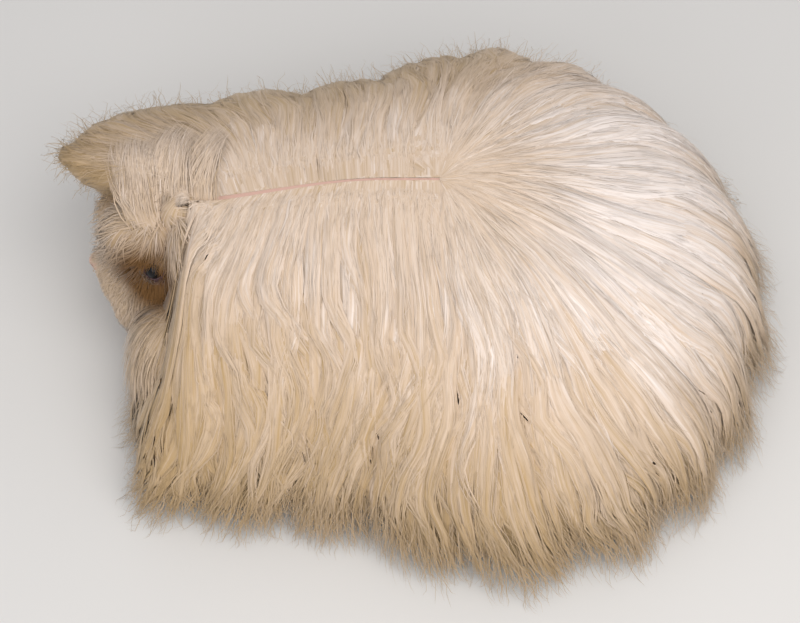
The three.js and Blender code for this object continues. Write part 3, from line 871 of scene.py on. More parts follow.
def lock_strands(rng, locks, region, settings, count, sections=8):
    """Wisps and fine strands that lie on the locks and run with them."""
    weight = locks["width"] * (locks["end"] - locks["start"]) * np.exp(0.3 * locks["height"])
    owner = rng.choice(len(weight), count, p=weight / weight.sum())
    at_root = rng.random(count) < ROOTED_SHARE  # these start at the parting, on the uppermost locks
    weight = weight * (locks["start"] == 0) * (locks["height"] > -2.7)
    owner = np.where(at_root, rng.choice(len(weight), count, p=weight / weight.sum()), owner)
    at_root = at_root[:, None]
    mine = pick(locks, owner)
    mine["end"] = mine["end"] + 0.05 * smooth(0.8, 0.9, mine["end"]) * rng.random(count)
    across = rng.uniform(-1, 1, (count, 1))
    first = np.where(at_root, rng.uniform(0, 0.05, (count, 1)), rng.uniform(0, 0.8, (count, 1)) ** 1.2)
    length = np.where(at_root, rng.uniform(0.15, 0.5, (count, 1)), rng.uniform(0.3, 0.7, (count, 1)))
    s = np.linspace(0, 1, sections)[None]
    t = first + np.minimum(length, 1 - first) * s
    # half are single strands, and the rest are wisps, a few of them broad
    broad = rng.random((count, 1))
    thick = settings.strand_width / MM / 2 * np.where(broad > 0.88, 2.6, np.where(broad > 0.5, 1.7, 1))
    thick = thick * rng.uniform(0.7, 1.3, (count, 1))
    lift = rng.gamma(1.6, 0.1, (count, 1))
    stray = rng.gamma(1.2, 0.3, (count, 1)) * smooth(0.5, 1, s)
    wander = 0.14 * np.sin(2 * pi * s * rng.uniform(0.8, 2.2, (count, 1)) + rng.uniform(0, 6.3, (count, 1)))
    place_across = np.clip(across + wander * smooth(0, 0.3, s), -1, 1)
    round_it = np.sqrt(np.maximum(1 - place_across**2, 0))
    above = mine["thick"][:, None] * lock_profile(mine, t)[1] * round_it + 0.1 + stray
    path, normal, fall, angle = lay(mine, t, place_across, above + lift * np.sin(s * 0.75 * pi), 1.0)
    frizz = rng.gamma(2.0, 0.3, (count, 1)) * smooth(0.55, 0.95, fall) * smooth(0.2, 0.8, s)
    coil = 2 * pi * (s * rng.uniform(0.8, 2.2, (count, 1)) + rng.random((count, 1)))
    tangent = unit(np.gradient(path, axis=1))
    side = unit(np.cross(tangent, normal))
    path = path + side * (frizz * np.cos(coil))[..., None] + normal * (0.7 * frizz * np.sin(coil))[..., None]
    lift_off_floor(path, "strands")
    shade = unit(normal - side * (place_across * 0.4)[..., None])
    width = thick * (0.45 + 0.55 * smooth(0, 0.25, s)) * (1 - 0.85 * smooth(0.45, 1, s))
    tone = tone_of(mine, angle, fall, t, rng.normal(0.04, 0.055, (count, 1)))
    low, high = REGIONS[region]
    root = mine["start"] + (mine["end"] - mine["start"]) * first[:, 0]
    uv = inset_uv((mine["angle"] - low) / (high - low), root)
    return Strands(path, shade, width, uv, tone)


def fringe(rng, region, settings, count, sections=6):
    """Fine curly hair that stands out of the coat, mostly round the hem and the outline."""
    low, high = REGIONS[region]
    far = low > 0
    at_hem = rng.random(count) < (0.4 if far else 0.75)
    angle = rng.uniform(low, high, count)
    end = np.where(at_hem, rng.uniform(0.9, 1.025, count), rng.uniform(0.3, 0.95, count))
    peak = ~at_hem & (rng.random(count) < 0.5) & (region == "mane_right")  # the swept-forward tip
    angle = np.where(peak, rng.normal(PEAK_ANGLE, 0.16, count), angle)
    end = np.where(peak, rng.normal(0.5, 0.12, count), end)
    stray = dict(
        angle=angle,
        start=end - rng.uniform(0.07, 0.16, count),
        end=end,
        width=rng.uniform(3, 9, count),
        height=rng.uniform(-2.5, 0.5, count),
        thick=np.full(count, 0.3),
        phase=rng.uniform(0, 2 * pi, count),
        wave=rng.gamma(2.0, 0.5, count),
        turns=rng.uniform(3, 8, count),
        tone=rng.normal(-0.04, 0.1, count),
        seed=rng.uniform(0, 100, count),
    )
    s = np.linspace(0, 1, sections)[None]
    reach = np.where(at_hem[:, None], 1.8, 2.2 if far else 1.0)
    reach = reach * np.minimum(rng.gamma(1.8, 1.3, (count, 1)), 4.5)
    loose = smooth(0.1, 1, s) * reach
    coil = 2 * pi * (s * rng.uniform(0.7, 1.9, (count, 1)) + rng.random((count, 1)))
    curl = rng.gamma(2.0, 0.5, (count, 1)) * smooth(0.1, 0.8, s)
    path, normal, fall, angle = lay(stray, s + 0 * loose, rng.uniform(-1, 1, (count, 1)) + 0 * s, loose)
    tangent = unit(np.gradient(path, axis=1))
    side = unit(np.cross(tangent, normal))
    path = path + side * (curl * np.cos(coil))[..., None] + normal * (curl * 0.8 * np.sin(coil))[..., None]
    lift_off_floor(path, "fringe")
    width = settings.fringe_width / MM / 2 * rng.uniform(0.7, 1.3, (count, 1)) * (1 - 0.6 * s)
    tone = tone_of(stray, angle, fall, s, 0.05)
    uv = inset_uv((stray["angle"] - low) / (high - low), stray["start"])
    return Strands(path, normal, width, uv, tone)


# ---------------------------------------------------------------- short fur, laid on the skin itself
def skin_samples(rng, mesh, count, keep):
    """Random points on the skin's faces, spread by area and kept by a density from 0 to 1."""
    mesh.calc_loop_triangles()
    tri = np.empty(len(mesh.loop_triangles) * 3, int)
    mesh.loop_triangles.foreach_get("vertices", tri)
    tri = tri.reshape(-1, 3)
    p = vertex_array(mesh) / MM
    a, b, c = p[tri[:, 0]], p[tri[:, 1]], p[tri[:, 2]]
    area = np.linalg.norm(np.cross(b - a, c - a), axis=1) * keep((a + b + c) / 3)
    chosen = rng.choice(len(tri), count, p=area / area.sum())
    u, v = rng.random(count), rng.random(count)
    flip = u + v > 1
    u[flip], v[flip] = 1 - u[flip], 1 - v[flip]
    return a[chosen] + (b - a)[chosen] * u[:, None] + (c - a)[chosen] * v[:, None]


def hair_direction(p):
    """The lie of the short fur: away from the whorl on the head, back and down on the rest."""
    q = p + MIDDLE
    from_whorl = unit(q - WHORL)
    back = unit(np.stack([np.full(len(q), 0.5), 0.25 * np.sign(q[:, 1]), np.full(len(q), -0.8)], -1))
    head = smooth(-92, -104, q[:, 0])[:, None]
    return unit(mix(back, from_whorl, head))


def short_fur(rng, roots, length, lift, width, sections=5):
    """Strands that creep over the skin from their roots, each step laid back on it."""
    n = len(roots)
    tree = SkinShape.tree
    path = np.zeros((n, sections, 3))
    normal = np.zeros((n, sections, 3))
    here = roots.copy()
    wobble = rng.normal(0, 0.22, (n, 3))
    for i in range(sections):
        for k in range(n):
            place, face_normal, _, _ = tree.find_nearest(here[k])
            path[k, i] = place
            normal[k, i] = face_normal
        ahead = hair_direction(path[:, i]) + wobble
        ahead -= normal[:, i] * (ahead * normal[:, i]).sum(-1, keepdims=True)
        here = path[:, i] + unit(ahead) * (length / (sections - 1))[:, None]
    t = np.linspace(0, 1, sections)[None]
    rise = (np.sin(t * 0.62 * pi) * lift[:, None])[..., None]
    path = path + normal * (rise - 0.3 * (t[..., None] == 0))
    lift_off_floor(path, "fur")
    widths = width[:, None] * (0.7 + 0.3 * smooth(0, 0.3, t)) * (1 - 0.7 * smooth(0.4, 1, t))
    return path, normal, widths


def nose_share(q):
    """1 on the nose's tip, fading outward over it (working frame)."""
    return np.exp(-(((q - (-146.5, 0, 45.5)) / (6, 6.5, 5.5)) ** 2).sum(-1))


def face_density(p):
    """Where the head's short fur grows, and how densely."""
    q = p + MIDDLE
    head = smooth(-88, -100, q[:, 0]) * smooth(14, 20, q[:, 2])
    nose = smooth(0.2, 0.55, nose_share(q))
    eye = smooth(EYE_RADIUS - 0.3, EYE_RADIUS + 1.2, eye_distance(p))
    return head * (1 - nose) * eye * (1 + 1.2 * smooth(-115, -130, q[:, 0]))


def body_density(p):
    """Under the long coat: belly, legs and feet, with the soles and toes' tips bare."""
    q = p + MIDDLE
    low = smooth(60, 40, q[:, 2]) * smooth(-96, -88, q[:, 0])
    return low * smooth(1.5, 4, q[:, 2])


def unwrap(p):
    """An unwrap of the skin: round the long axis, and along it."""
    q = p + MIDDLE
    axis_height, front, length = 45, -150, 245
    round_it = np.arctan2(q[:, 1], q[:, 2] - axis_height) / (2 * pi) + 0.5
    return np.stack([round_it, (q[:, 0] - front) / length], -1)


def unwrap_face(p):
    """The head's part of the unwrap, spread over the whole map."""
    place = unwrap(p)
    return inset_uv(place[:, 0], np.clip(place[:, 1] / 0.26, 0, 1))


def face_fur(rng, settings, mesh):
    """Short fur of the head: shortest on the muzzle, longer on jowls and crown."""
    count, sections = FACE_HAIRS, 4
    roots = skin_samples(rng, mesh, count, face_density)
    q = roots + MIDDLE
    muzzle = smooth(-124, -140, q[:, 0])
    low = smooth(52, 24, q[:, 2])
    crown = smooth(70, 80, q[:, 2])
    length = settings.face_fur / MM * mix(1.15, 0.55, muzzle)
    length = length * (1 + 1.5 * low * (1 - muzzle)) * (1 + 1.2 * crown)
    close = smooth(10, 6, eye_distance(roots))
    length = length * rng.uniform(0.75, 1.25, count) * (1 - 0.4 * close) * (1 - 0.6 * nose_share(q))
    lift = mix(1.9, 1.1, muzzle) * rng.uniform(0.5, 1.25, count) * (1 + 0.8 * low * (1 - muzzle))
    half = 0.18 * rng.uniform(0.7, 1.3, count)
    path, normal, widths = short_fur(rng, roots, length, lift, half, sections)
    tone = np.clip(0.3 + rng.normal(0, 0.1, (count, 1)) + 0.12 * np.linspace(0, 1, sections)[None], 0, 1)
    return Strands(path, normal, widths, unwrap_face(roots), tone)


def brow_fur(rng):
    """Hair that hangs from above each eye over its upper part."""
    n, sections = BROW_HAIRS, 6
    t = np.linspace(0, 1, sections)[None, :, None]
    paths, normals = [], []
    for s in SIDES.values():
        centre = eye_centre(s) - MIDDLE
        axis, ahead, up = eye_frame(s)
        place = rng.uniform(-9, 9, (n, 1))
        start = centre + up * rng.uniform(7, 13, (n, 1)) + ahead * place + axis * 3
        root = np.array([SkinShape.tree.find_nearest(Vector(p))[0] for p in start])
        low = rng.uniform(-0.5, 5.0, (n, 1)) - 0.25 * abs(place)
        tip = centre + axis * rng.uniform(6.0, 7.4, (n, 1)) + up * low
        tip = tip + ahead * (0.8 * place + rng.normal(0, 1, (n, 1)))
        bend = (root + tip) / 2 + axis * rng.uniform(1.2, 2.6, (n, 1))
        root, tip, bend = root[:, None], tip[:, None], bend[:, None]
        paths.append(root * (1 - t) ** 2 + 2 * bend * t * (1 - t) + tip * t**2)
        normals.append(np.broadcast_to(axis, (n, sections, 3)))
    path = np.concatenate(paths)
    width = rng.uniform(0.08, 0.17, (2 * n, 1)) * thinning(t[..., 0])
    tone = np.clip(0.25 + rng.normal(0, 0.12, (2 * n, 1)) + 0 * t[..., 0], 0, 1)
    return Strands(path, np.concatenate(normals), width, unwrap_face(path[:, 0]), tone)


def under_fur(rng, mesh):
    """Sparse fur of belly, legs and feet, under the long coat."""
    count = UNDER_HAIRS
    roots = skin_samples(rng, mesh, count, body_density)
    length = mix(3.0, 11.0, smooth(6, 24, roots[:, 2])) * rng.uniform(0.7, 1.3, count)
    lift = length * 0.22
    path, normal, widths = short_fur(rng, roots, length, lift, 0.3 * rng.uniform(0.7, 1.3, count), 4)
    tone = np.clip(0.45 + rng.normal(0, 0.12, (count, 1)) + np.zeros((1, 4)), 0, 1)
    return Strands(path, normal, widths, inset_uv(*unwrap(roots).T), tone)


FACE_HAIRS, BROW_HAIRS, UNDER_HAIRS = 7900, 150, 2600
CREST_HAIRS, CREST_TUFTS = 2000, 26
# node, centre, radii, hairs, their length, how far from the whorl they are rooted, where they are drawn, tone
MASSES = {
    "forelock": ("forelock", (-117, 0, 66), (26, 21, 18.5), 2000, (10, 18), 40, (0, 0, 0), 0.36),
    "right_face": ("mane_right", (-126, 21, 52), (22, 15, 21), 1000, (14, 24), 62, (0, 0, -0.6), 0.26),
    "temple": ("mane_left", (-98, -8, 61), (16, 30, 31.5), 1350, (14, 24), 60, (0.1, -0.5, -0.9), 0.36),
    "poll": ("forelock", (-101, 1, 77.5), (14, 14, 16.5), 600, (9, 14), 40, (0, 0, 0), 0.42),
    "jowl": ("mane_left", (-108, -41, 29), (23, 33, 31), 1700, (16, 26), 90, (-0.1, -0.5, -1.2), 0.28),
}


def mass_mat(name, centre, radii, material, around=40, along=20, share=0.86):
    """The closed hair under a fluffy mass, streaked away from its top."""
    turn, down = np.meshgrid(turns_of(around), np.linspace(0, pi, along + 2)[1:-1], indexing="ij")
    grid = np.stack([np.sin(down) * np.cos(turn), np.sin(down) * np.sin(turn), np.cos(down)], -1)
    points = np.concatenate([grid.reshape(-1, 3), [[0, 0, 1], [0, 0, -1]]])
    points = points * np.array(radii) * share + np.array(centre) - MIDDLE
    index = np.arange(around * along).reshape(around, along)
    following = np.roll(index, -1, axis=0)
    quads = [
        (index[i, j], index[i, j + 1], following[i, j + 1], following[i, j])
        for i in range(around)
        for j in range(along - 1)
    ]
    top, low = around * along, around * along + 1
    tris = [(top, index[i, 0], following[i, 0]) for i in range(around)]
    tris += [(low, following[i, -1], index[i, -1]) for i in range(around)]
    obj, loops = joined_mesh(name, points[None], quads, tris, material)
    place = np.stack([turn.ravel() / (2 * pi), down.ravel() / pi], -1)
    place = np.concatenate([place, [[0.5, 0.0], [0.5, 1.0]]])
    set_uv(obj.data, "OFBake", place * 0.96 + 0.02, loops)
    set_uv(obj.data, "lie", place * (90, 45), loops)
    add_attribute(obj.data, "tone", np.full(len(points), 0.3))
    add_attribute(obj.data, "stain", stain_at(points))
    return obj


def mass_fur(rng, centre, radii, count, lengths, furthest, drawn, pale, sections=6):
    """Fluffy hair over a rounded mass of the face, streaming away from the whorl."""
    centre, radii = np.array(centre) - MIDDLE, np.array(radii, float)
    whorl = WHORL - MIDDLE
    roots = unit(rng.normal(0, 1, (count * 14, 3)))
    place = centre + roots * radii
    near = np.linalg.norm(place - whorl, axis=1)
    chosen = (place[:, 2] > 12) & (near < furthest) & (rng.random(len(near)) < np.clip(14 / near, 0.3, 1))
    roots = roots[chosen][:count]
    n = len(roots)
    depth = rng.uniform(0.84, 1.0, (n, 1))
    length = rng.uniform(*lengths, (n, 1))
    tuft = np.sin(roots[:, :1] * 9) + np.sin(roots[:, 1:2] * 11 + 1)
    stray = np.concatenate([0.24 * tuft, -0.24 * tuft, 0 * tuft], axis=1) + rng.normal(0, 0.13, (n, 3))
    path, normal = np.zeros((n, sections, 3)), np.zeros((n, sections, 3))
    here = roots
    for i in range(sections):
        t = i / (sections - 1)
        hanging = 0.28 * smooth(0.3, -0.6, here[:, 2:]) * t**2
        path[:, i] = centre + here * radii * (depth - 0.1 * (1 - t) + 0.08 * t * (1.2 - t) + hanging)
        normal[:, i] = unit(here / radii)
        ahead = unit(path[:, i] - whorl + np.array([0, 0, -5.0])) + stray + np.array(drawn)
        ahead -= normal[:, i] * (ahead * normal[:, i]).sum(-1, keepdims=True)
        here = unit(here + unit(ahead) * length / (sections - 1) / radii)
    lift_off_floor(path, "mass")
    t = np.linspace(0, 1, sections)[None]
    width = rng.uniform(0.13, 0.32, (n, 1)) * thinning(t)
    tone = np.clip(pale + 0.04 * tuft + rng.normal(0, 0.07, (n, 1)) + 0.1 * t, 0, 1)
    uv = inset_uv(np.arctan2(roots[:, 1], roots[:, 0]) / (2 * pi) + 0.5, roots[:, 2] / 2 + 0.5)
    return Strands(path, normal, width, uv, tone)


def coat_height(x, y):
    """Height of the coat's face over points beside and behind the forehead on the right."""
    angle, fall = np.meshgrid(np.linspace(1.6, pi, 160), np.linspace(0, 0.45, 60))
    points = coat_point(angle.ravel(), fall.ravel(), 0)
    tree = KDTree(len(points))
    for i, (px, py, _) in enumerate(points):
        tree.insert((px, py, 0), i)
    tree.balance()
    heights = [points[tree.find((a, b, 0))[1], 2] for a, b in zip(x.ravel(), y.ravel())]
    return np.array(heights).reshape(x.shape)


def crest_fur(rng):
    """The crest: longer hair that springs from the whorl and streams over the right side of the forehead."""
    n, sections = CREST_HAIRS, 6
    whorl = WHORL - MIDDLE
    tuft = rng.integers(0, CREST_TUFTS, n)  # hairs gather in pointed tufts
    centre_x = rng.uniform(-14, 20, (CREST_TUFTS, 1))[tuft]
    centre_y = rng.uniform(-3, 11, (CREST_TUFTS, 1))[tuft]
    tuft_turn = rng.normal(0, 0.16, (CREST_TUFTS, 1))[tuft]
    tuft_rise = rng.uniform(1.5, 5.5, (CREST_TUFTS, 1))[tuft]
    tuft_length = rng.uniform(27, 37, (CREST_TUFTS, 1))[tuft]
    spread = rng.normal(0, 2.7, (n, 2))
    x0, y0 = whorl[0] + centre_x + spread[:, :1], whorl[1] + centre_y + spread[:, 1:]
    fan = 1.75 - 0.024 * centre_x + tuft_turn
    t = np.linspace(0, 1, sections)[None]
    length = tuft_length * rng.uniform(0.75, 1.08, (n, 1))
    heading = fan + 0.35 * (0.5 - t) + rng.normal(0, 0.05, (n, 1))
    narrow = 1 - 0.6 * smooth(0.3, 1, t)
    middle_x = whorl[0] + centre_x + np.cos(heading) * length * t
    middle_y = whorl[1] + centre_y + np.sin(heading) * length * t
    x = middle_x + (x0 - whorl[0] - centre_x) * narrow
    y = middle_y + (y0 - whorl[1] - centre_y) * narrow
    down, over_all = Vector((0, 0, -1)), 200
    starts = [Vector((px, py, over_all)) for px, py in zip(x0[:, 0], y0[:, 0])]
    ground = np.array([SkinShape.tree.ray_cast(start, down)[0].z for start in starts])
    _, centre, radii = MASSES["forelock"][:3]
    beside = ((x0[:, 0] + MIDDLE[0] - centre[0]) / radii[0]) ** 2
    beside = beside + ((y0[:, 0] + MIDDLE[1] - centre[1]) / radii[1]) ** 2
    ground = np.maximum(ground, centre[2] + 0.93 * radii[2] * np.sqrt(np.maximum(1 - beside, 0)))
    rise = tuft_rise + rng.uniform(0, 1.6, (n, 1))
    z = ground[:, None] - 0.5 + (rise + 0.5) * smooth(0, 0.55, t) - 4 * smooth(0.4, 1, t)
    over = coat_height(x, y) - 1.5 + (0.5 * rise + 1.5) * smooth(0, 0.5, t)
    z = mix(z, np.maximum(z, over), smooth(-4, 3, y + MIDDLE[1]))
    path = np.stack([x, y, z], -1)
    tangent = unit(np.gradient(path, axis=1))
    normal = unit(np.cross(tangent, np.stack([np.sin(heading), -np.cos(heading), 0 * heading], -1)))
    normal = normal * np.sign(normal[..., 2:])
    width = rng.uniform(0.1, 0.24, (n, 1)) * thinning(t)
    tone = np.clip(0.32 + 0.025 * tuft_rise + rng.normal(0, 0.08, (n, 1)) + 0.12 * t, 0, 1)
    uv = inset_uv((x0[:, 0] - whorl[0] + 30) / 60, (y0[:, 0] - whorl[1] + 30) / 60)
    return Strands(path, normal, width, uv, tone)


# ---------------------------------------------------------------- materials
def principled(name, roughness, specular=0.5):
    material = bpy.data.materials.new(name)
    material.use_nodes = True
    shader = material.node_tree.nodes["Principled BSDF"]
    shader.inputs["Roughness"].default_value = roughness
    shader.inputs["Specular IOR Level"].default_value = specular
    return material, material.node_tree, shader


def attribute(tree, name):
    node = tree.nodes.new("ShaderNodeAttribute")
    node.attribute_name = name
    return node.outputs["Fac"]


def mixed(tree, factor, first, second):
    """A colour mix; first and second are sockets or colours."""
    node = tree.nodes.new("ShaderNodeMix")
    node.data_type = "RGBA"
    for socket, value in ((node.inputs[0], factor), (node.inputs[6], first), (node.inputs[7], second)):
        if isinstance(value, bpy.types.NodeSocket):
            tree.links.new(value, socket)
        else:
            socket.default_value = value if isinstance(value, float) else (*value, 1.0)
    return node.outputs[2]


def coat_colour_group(settings):
    """The coat's colours from its tone (markings, with painted shade and highlight) and stain, shared by skin
    and fur.
    """
    group = bpy.data.node_groups.new("coat_colour", "ShaderNodeTree")
    for name in ("Tone", "Stain"):
        group.interface.new_socket(name, in_out="INPUT", socket_type="NodeSocketFloat")
    group.interface.new_socket("Colour", in_out="OUTPUT", socket_type="NodeSocketColor")
    inputs = group.nodes.new("NodeGroupInput")
    outputs = group.nodes.new("NodeGroupOutput")
    ramp = group.nodes.new("ShaderNodeValToRGB")
    stops = ramp.color_ramp.elements
    stops[0].position, stops[0].color = 0.0, (*settings.golden, 1)
    stops[1].position, stops[1].color = 1.0, (*settings.white, 1)
    middle = stops.new(0.5)
    middle.color = (*settings.cream, 1)
    group.links.new(inputs.outputs["Tone"], ramp.inputs[0])
    stained = mixed(group, inputs.outputs["Stain"], ramp.outputs[0], settings.stain)
    group.links.new(stained, outputs.inputs["Colour"])
    return group


def use_group(tree, group, **links):
    node = tree.nodes.new("ShaderNodeGroup")
    node.node_tree = group
    for name, source in links.items():
        if isinstance(source, float):
            node.inputs[name].default_value = source
        else:
            tree.links.new(source, node.inputs[name])
    return node.outputs[0]


def soften(shader):
    """The soft bloom of fine hair."""
    shader.inputs["Sheen Weight"].default_value = 0.25
    shader.inputs["Sheen Roughness"].default_value = 0.5


def fur_material(settings):
    """Strands: the coat's colours by their tone and stain."""
    material, tree, shader = principled("fur", roughness=0.6, specular=0.16)
    soften(shader)
    tone, stain = attribute(tree, "tone"), attribute(tree, "stain")
    colour = use_group(tree, coat_group(settings), Tone=tone, Stain=stain)
    tree.links.new(colour, shader.inputs["Base Color"])
    return material


def streak_group():
    """Fine hair streaks along a lock: a value round 0 for the tone, and a normal."""
    group = bpy.data.node_groups.new("hair_streaks", "ShaderNodeTree")
    group.interface.new_socket("Tone", in_out="OUTPUT", socket_type="NodeSocketFloat")
    group.interface.new_socket("Normal", in_out="OUTPUT", socket_type="NodeSocketVector")
    outputs = group.nodes.new("NodeGroupOutput")
    lie = group.nodes.new("ShaderNodeUVMap")
    lie.uv_map = "lie"
    heights = []
    # fine and broad streaks: how many for each millimetre across a lock and along it
    for across, along in ((1.5, 0.035), (0.5, 0.015)):
        stretch = group.nodes.new("ShaderNodeMapping")
        stretch.inputs["Scale"].default_value = (across, along, 1)
        group.links.new(lie.outputs[0], stretch.inputs["Vector"])
        noise = group.nodes.new("ShaderNodeTexNoise")
        noise.inputs["Scale"].default_value = 1.0
        noise.inputs["Detail"].default_value = 2.0
        group.links.new(stretch.outputs[0], noise.inputs["Vector"])
        heights.append(noise.outputs[0])
    both = group.nodes.new("ShaderNodeMath")
    both.operation = "ADD"
    group.links.new(heights[0], both.inputs[0])
    group.links.new(heights[1], both.inputs[1])
    tone = group.nodes.new("ShaderNodeMapRange")
    tone.inputs["From Min"].default_value, tone.inputs["From Max"].default_value = 0.6, 1.4
    tone.inputs["To Min"].default_value, tone.inputs["To Max"].default_value = -0.38, 0.34
    group.links.new(both.outputs[0], tone.inputs["Value"])
    group.links.new(tone.outputs[0], outputs.inputs["Tone"])
    relief = group.nodes.new("ShaderNodeBump")
    relief.inputs["Strength"].default_value = 0.5
    relief.inputs["Distance"].default_value = 0.0005
    group.links.new(both.outputs[0], relief.inputs["Height"])
    group.links.new(relief.outputs[0], outputs.inputs["Normal"])
    return group


def lock_material(settings):
    """Locks: the coat's colours with fine streaks along the hair."""
    material, tree, shader = principled("locks", roughness=0.65, specular=0.14)
    soften(shader)
    streaks = tree.nodes.new("ShaderNodeGroup")
    streaks.node_tree = streak_group()
    total = tree.nodes.new("ShaderNodeMath")
    total.operation = "ADD"
    tree.links.new(attribute(tree, "tone"), total.inputs[0])
    tree.links.new(streaks.outputs["Tone"], total.inputs[1])
    colour = use_group(tree, coat_group(settings), Tone=total.outputs[0], Stain=attribute(tree, "stain"))
    tree.links.new(colour, shader.inputs["Base Color"])
    tree.links.new(streaks.outputs["Normal"], shader.inputs["Normal"])
    return material


def coat_group(settings):
    return bpy.data.node_groups.get("coat_colour") or coat_colour_group(settings)


def skin_material(settings):
    """Skin: bare and pink in places, the coat's colour elsewhere, dark at the lids, with painted shade in the
    nostrils and the mouth's line, and a fine grain.
    """
    material, tree, shader = principled("skin", roughness=0.62, specular=0.35)
    furred = use_group(tree, coat_group(settings), Tone=0.35, Stain=attribute(tree, "stain"))
    bare = mixed(tree, attribute(tree, "bare"), furred, settings.skin)
    # dark lids are their own colour; the nostrils and the mouth's line get the same colour as painted shade
    tree.links.new(mixed(tree, attribute(tree, "lid_and_pit_shade"), bare, settings.lid_and_pit_shade), shader.inputs["Base Color"])
    grain = tree.nodes.new("ShaderNodeTexNoise")
    grain.inputs["Scale"].default_value = 900
    relief = tree.nodes.new("ShaderNodeBump")
    relief.inputs["Strength"].default_value = 0.35
    relief.inputs["Distance"].default_value = 0.0006
    tree.links.new(grain.outputs[0], relief.inputs["Height"])
    tree.links.new(relief.outputs[0], shader.inputs["Normal"])
    return material


def mottled_material(name, colour, deeper, scale, roughness, specular=0.5, mask=None):
    """Two close tones mixed by noise; where there is a mask, the deeper tone wins."""
    material, tree, shader = principled(name, roughness, specular)
    place = tree.nodes.new("ShaderNodeTexCoord")
    noise = tree.nodes.new("ShaderNodeTexNoise")
    noise.inputs["Scale"].default_value = scale
    tree.links.new(place.outputs["Object"], noise.inputs["Vector"])
    paint = mixed(tree, noise.outputs[0], colour, deeper)
    if mask:
        paint = mixed(tree, attribute(tree, mask), paint, deeper)
    tree.links.new(paint, shader.inputs["Base Color"])
    return material


# ---------------------------------------------------------------- settings
def colour_setting(name, description, default):
    limits = dict(min=0, max=1)
    return FloatVectorProperty(name=name, description=description, subtype="COLOR", default=default, **limits)


def length_setting(name, description, default):
    return FloatProperty(name=name, description=description, unit="LENGTH", min=0, default=default)


class GuineaPigSettings(bpy.types.PropertyGroup):
    """Sizes and colours of the model and its stage."""

    skin_step: length_setting("Skin step", "Size of the skin's faces", 0.0012)
    strand_width: length_setting("Strand width", "Width of a long strand", 0.0004)
    fringe_width: length_setting("Fringe width", "Width of the finest hair at the hem", 0.00026)
    face_fur: length_setting("Face fur", "Length of the fur on the cheeks", 0.008)
    cream: colour_setting("Cream", "Middle tone of the coat", (0.68, 0.53, 0.40))
    white: colour_setting("White", "Palest tone of the coat", (0.92, 0.83, 0.775))
    golden: colour_setting("Golden", "Deepest tone of the coat", (0.475, 0.325, 0.165))
    stain: colour_setting("Stain", "Rusty stain round the eyes", (0.17, 0.08, 0.02))
    # this colour is also the painted shade of the nostrils and the mouth's line
    lid_and_pit_shade: colour_setting("Lid", "Dark rim of the eyes", (0.10, 0.055, 0.06))
    skin: colour_setting("Skin", "Bare pink skin", (0.70, 0.45, 0.37))
    iris: colour_setting("Iris", "Dark iris", (0.016, 0.011, 0.012))
    pupil: colour_setting("Pupil", "Black pupil", (0.004, 0.004, 0.005))
    claw: colour_setting("Claw", "Horn of the claws", (0.66, 0.52, 0.40))
    claw_shade: colour_setting("Claw shade", "Deeper horn", (0.50, 0.37, 0.27))
    floor: colour_setting("Floor", "Studio floor", (0.73, 0.72, 0.70))
    floor_shade: colour_setting("Floor shade", "Deeper tone of the floor", (0.69, 0.68, 0.66))


# ---------------------------------------------------------------- operators
SEEDS = {"coat": 40, "fringe": 70, "face": 5, "brow": 8, "under": 6, "crest": 7, "masses": 20}
# hairs of each sweep that lie on its locks, and that stand out of it
STRANDS = {
    "rear_sweep": 4000,
    "side_sweep_left": 3700,
    "side_sweep_right": 2000,
    "mane_left": 2700,
    "mane_right": 2000,
}
FRINGE = {
    "rear_sweep": 2500,
    "side_sweep_left": 1500,
    "side_sweep_right": 1450,
    "mane_left": 1350,
    "mane_right": 1600,
}


def dice(kind, number=0):
    """The random numbers of one kind of hair, the same on every run."""
    return np.random.default_rng(SEEDS[kind] + number)


class GUINEAPIG_OT_skin(bpy.types.Operator):
    """Build the skin: head, trunk, ears, legs and feet as one surface"""

    bl_idname = "guineapig.skin"
    bl_label = "Skin"

    def execute(self, context):
        settings = context.scene.guinea_pig
        build_skin(settings, skin_material(settings))
        return {"FINISHED"}


class GUINEAPIG_OT_eyes(bpy.types.Operator):
    """Add both eyes"""

    bl_idname = "guineapig.eyes"
    bl_label = "Eyes"

    def execute(self, context):
        settings = context.scene.guinea_pig
        tones = settings.iris, settings.pupil
        material = mottled_material("eye", *tones, scale=900, roughness=0.1, specular=0.22, mask="pupil")
        for side, s in SIDES.items():
            vertices, faces = ellipsoid(eye_centre(s) - MIDDLE, [EYE_RADIUS] * 3, segments=40)
            eye = mesh_object(f"eye_{side}", vertices * MM, faces, material)
            smooth_shaded(eye.data)
            facing = unit(vertices + MIDDLE - eye_centre(s)) @ eye_axis(s)
            add_attribute(eye.data, "pupil", smooth(0.84, 0.9, facing))
            belongs(eye, "eye", f"eye_{side}")
        return {"FINISHED"}


class GUINEAPIG_OT_claws(bpy.types.Operator):
    """Add the claws of all four feet"""

    bl_idname = "guineapig.claws"
    bl_label = "Claws"

    def execute(self, context):
        settings = context.scene.guinea_pig
        material = mottled_material("claw", settings.claw, settings.claw_shade, scale=500, roughness=0.35)
        for place, foot in FEET.items():
            for side, s in SIDES.items():
                for i, (_, tip, nail) in enumerate(toe_lines(foot, s), 1):
                    ahead = unit(nail - tip)
                    bend = mix(tip, nail, 0.55) + (0, 0, 0.7)
                    first = limb(tip + ahead * 0.4, bend, foot["radius"] * 0.55, foot["radius"] * 0.42, 12)
                    second = limb(bend, nail + (0, 0, 0.2), foot["radius"] * 0.42, 0.25, 12)
                    shift = len(first[0])
                    vertices = np.concatenate([first[0], second[0]]) - MIDDLE
                    faces = first[1] + [tuple(shift + k for k in face) for face in second[1]]
                    name = f"claw_{place}_{side}_{i}"
                    claw = mesh_object(name, vertices * MM, faces, material)
                    smooth_shaded(claw.data)
                    belongs(claw, "claw", name)
        return {"FINISHED"}


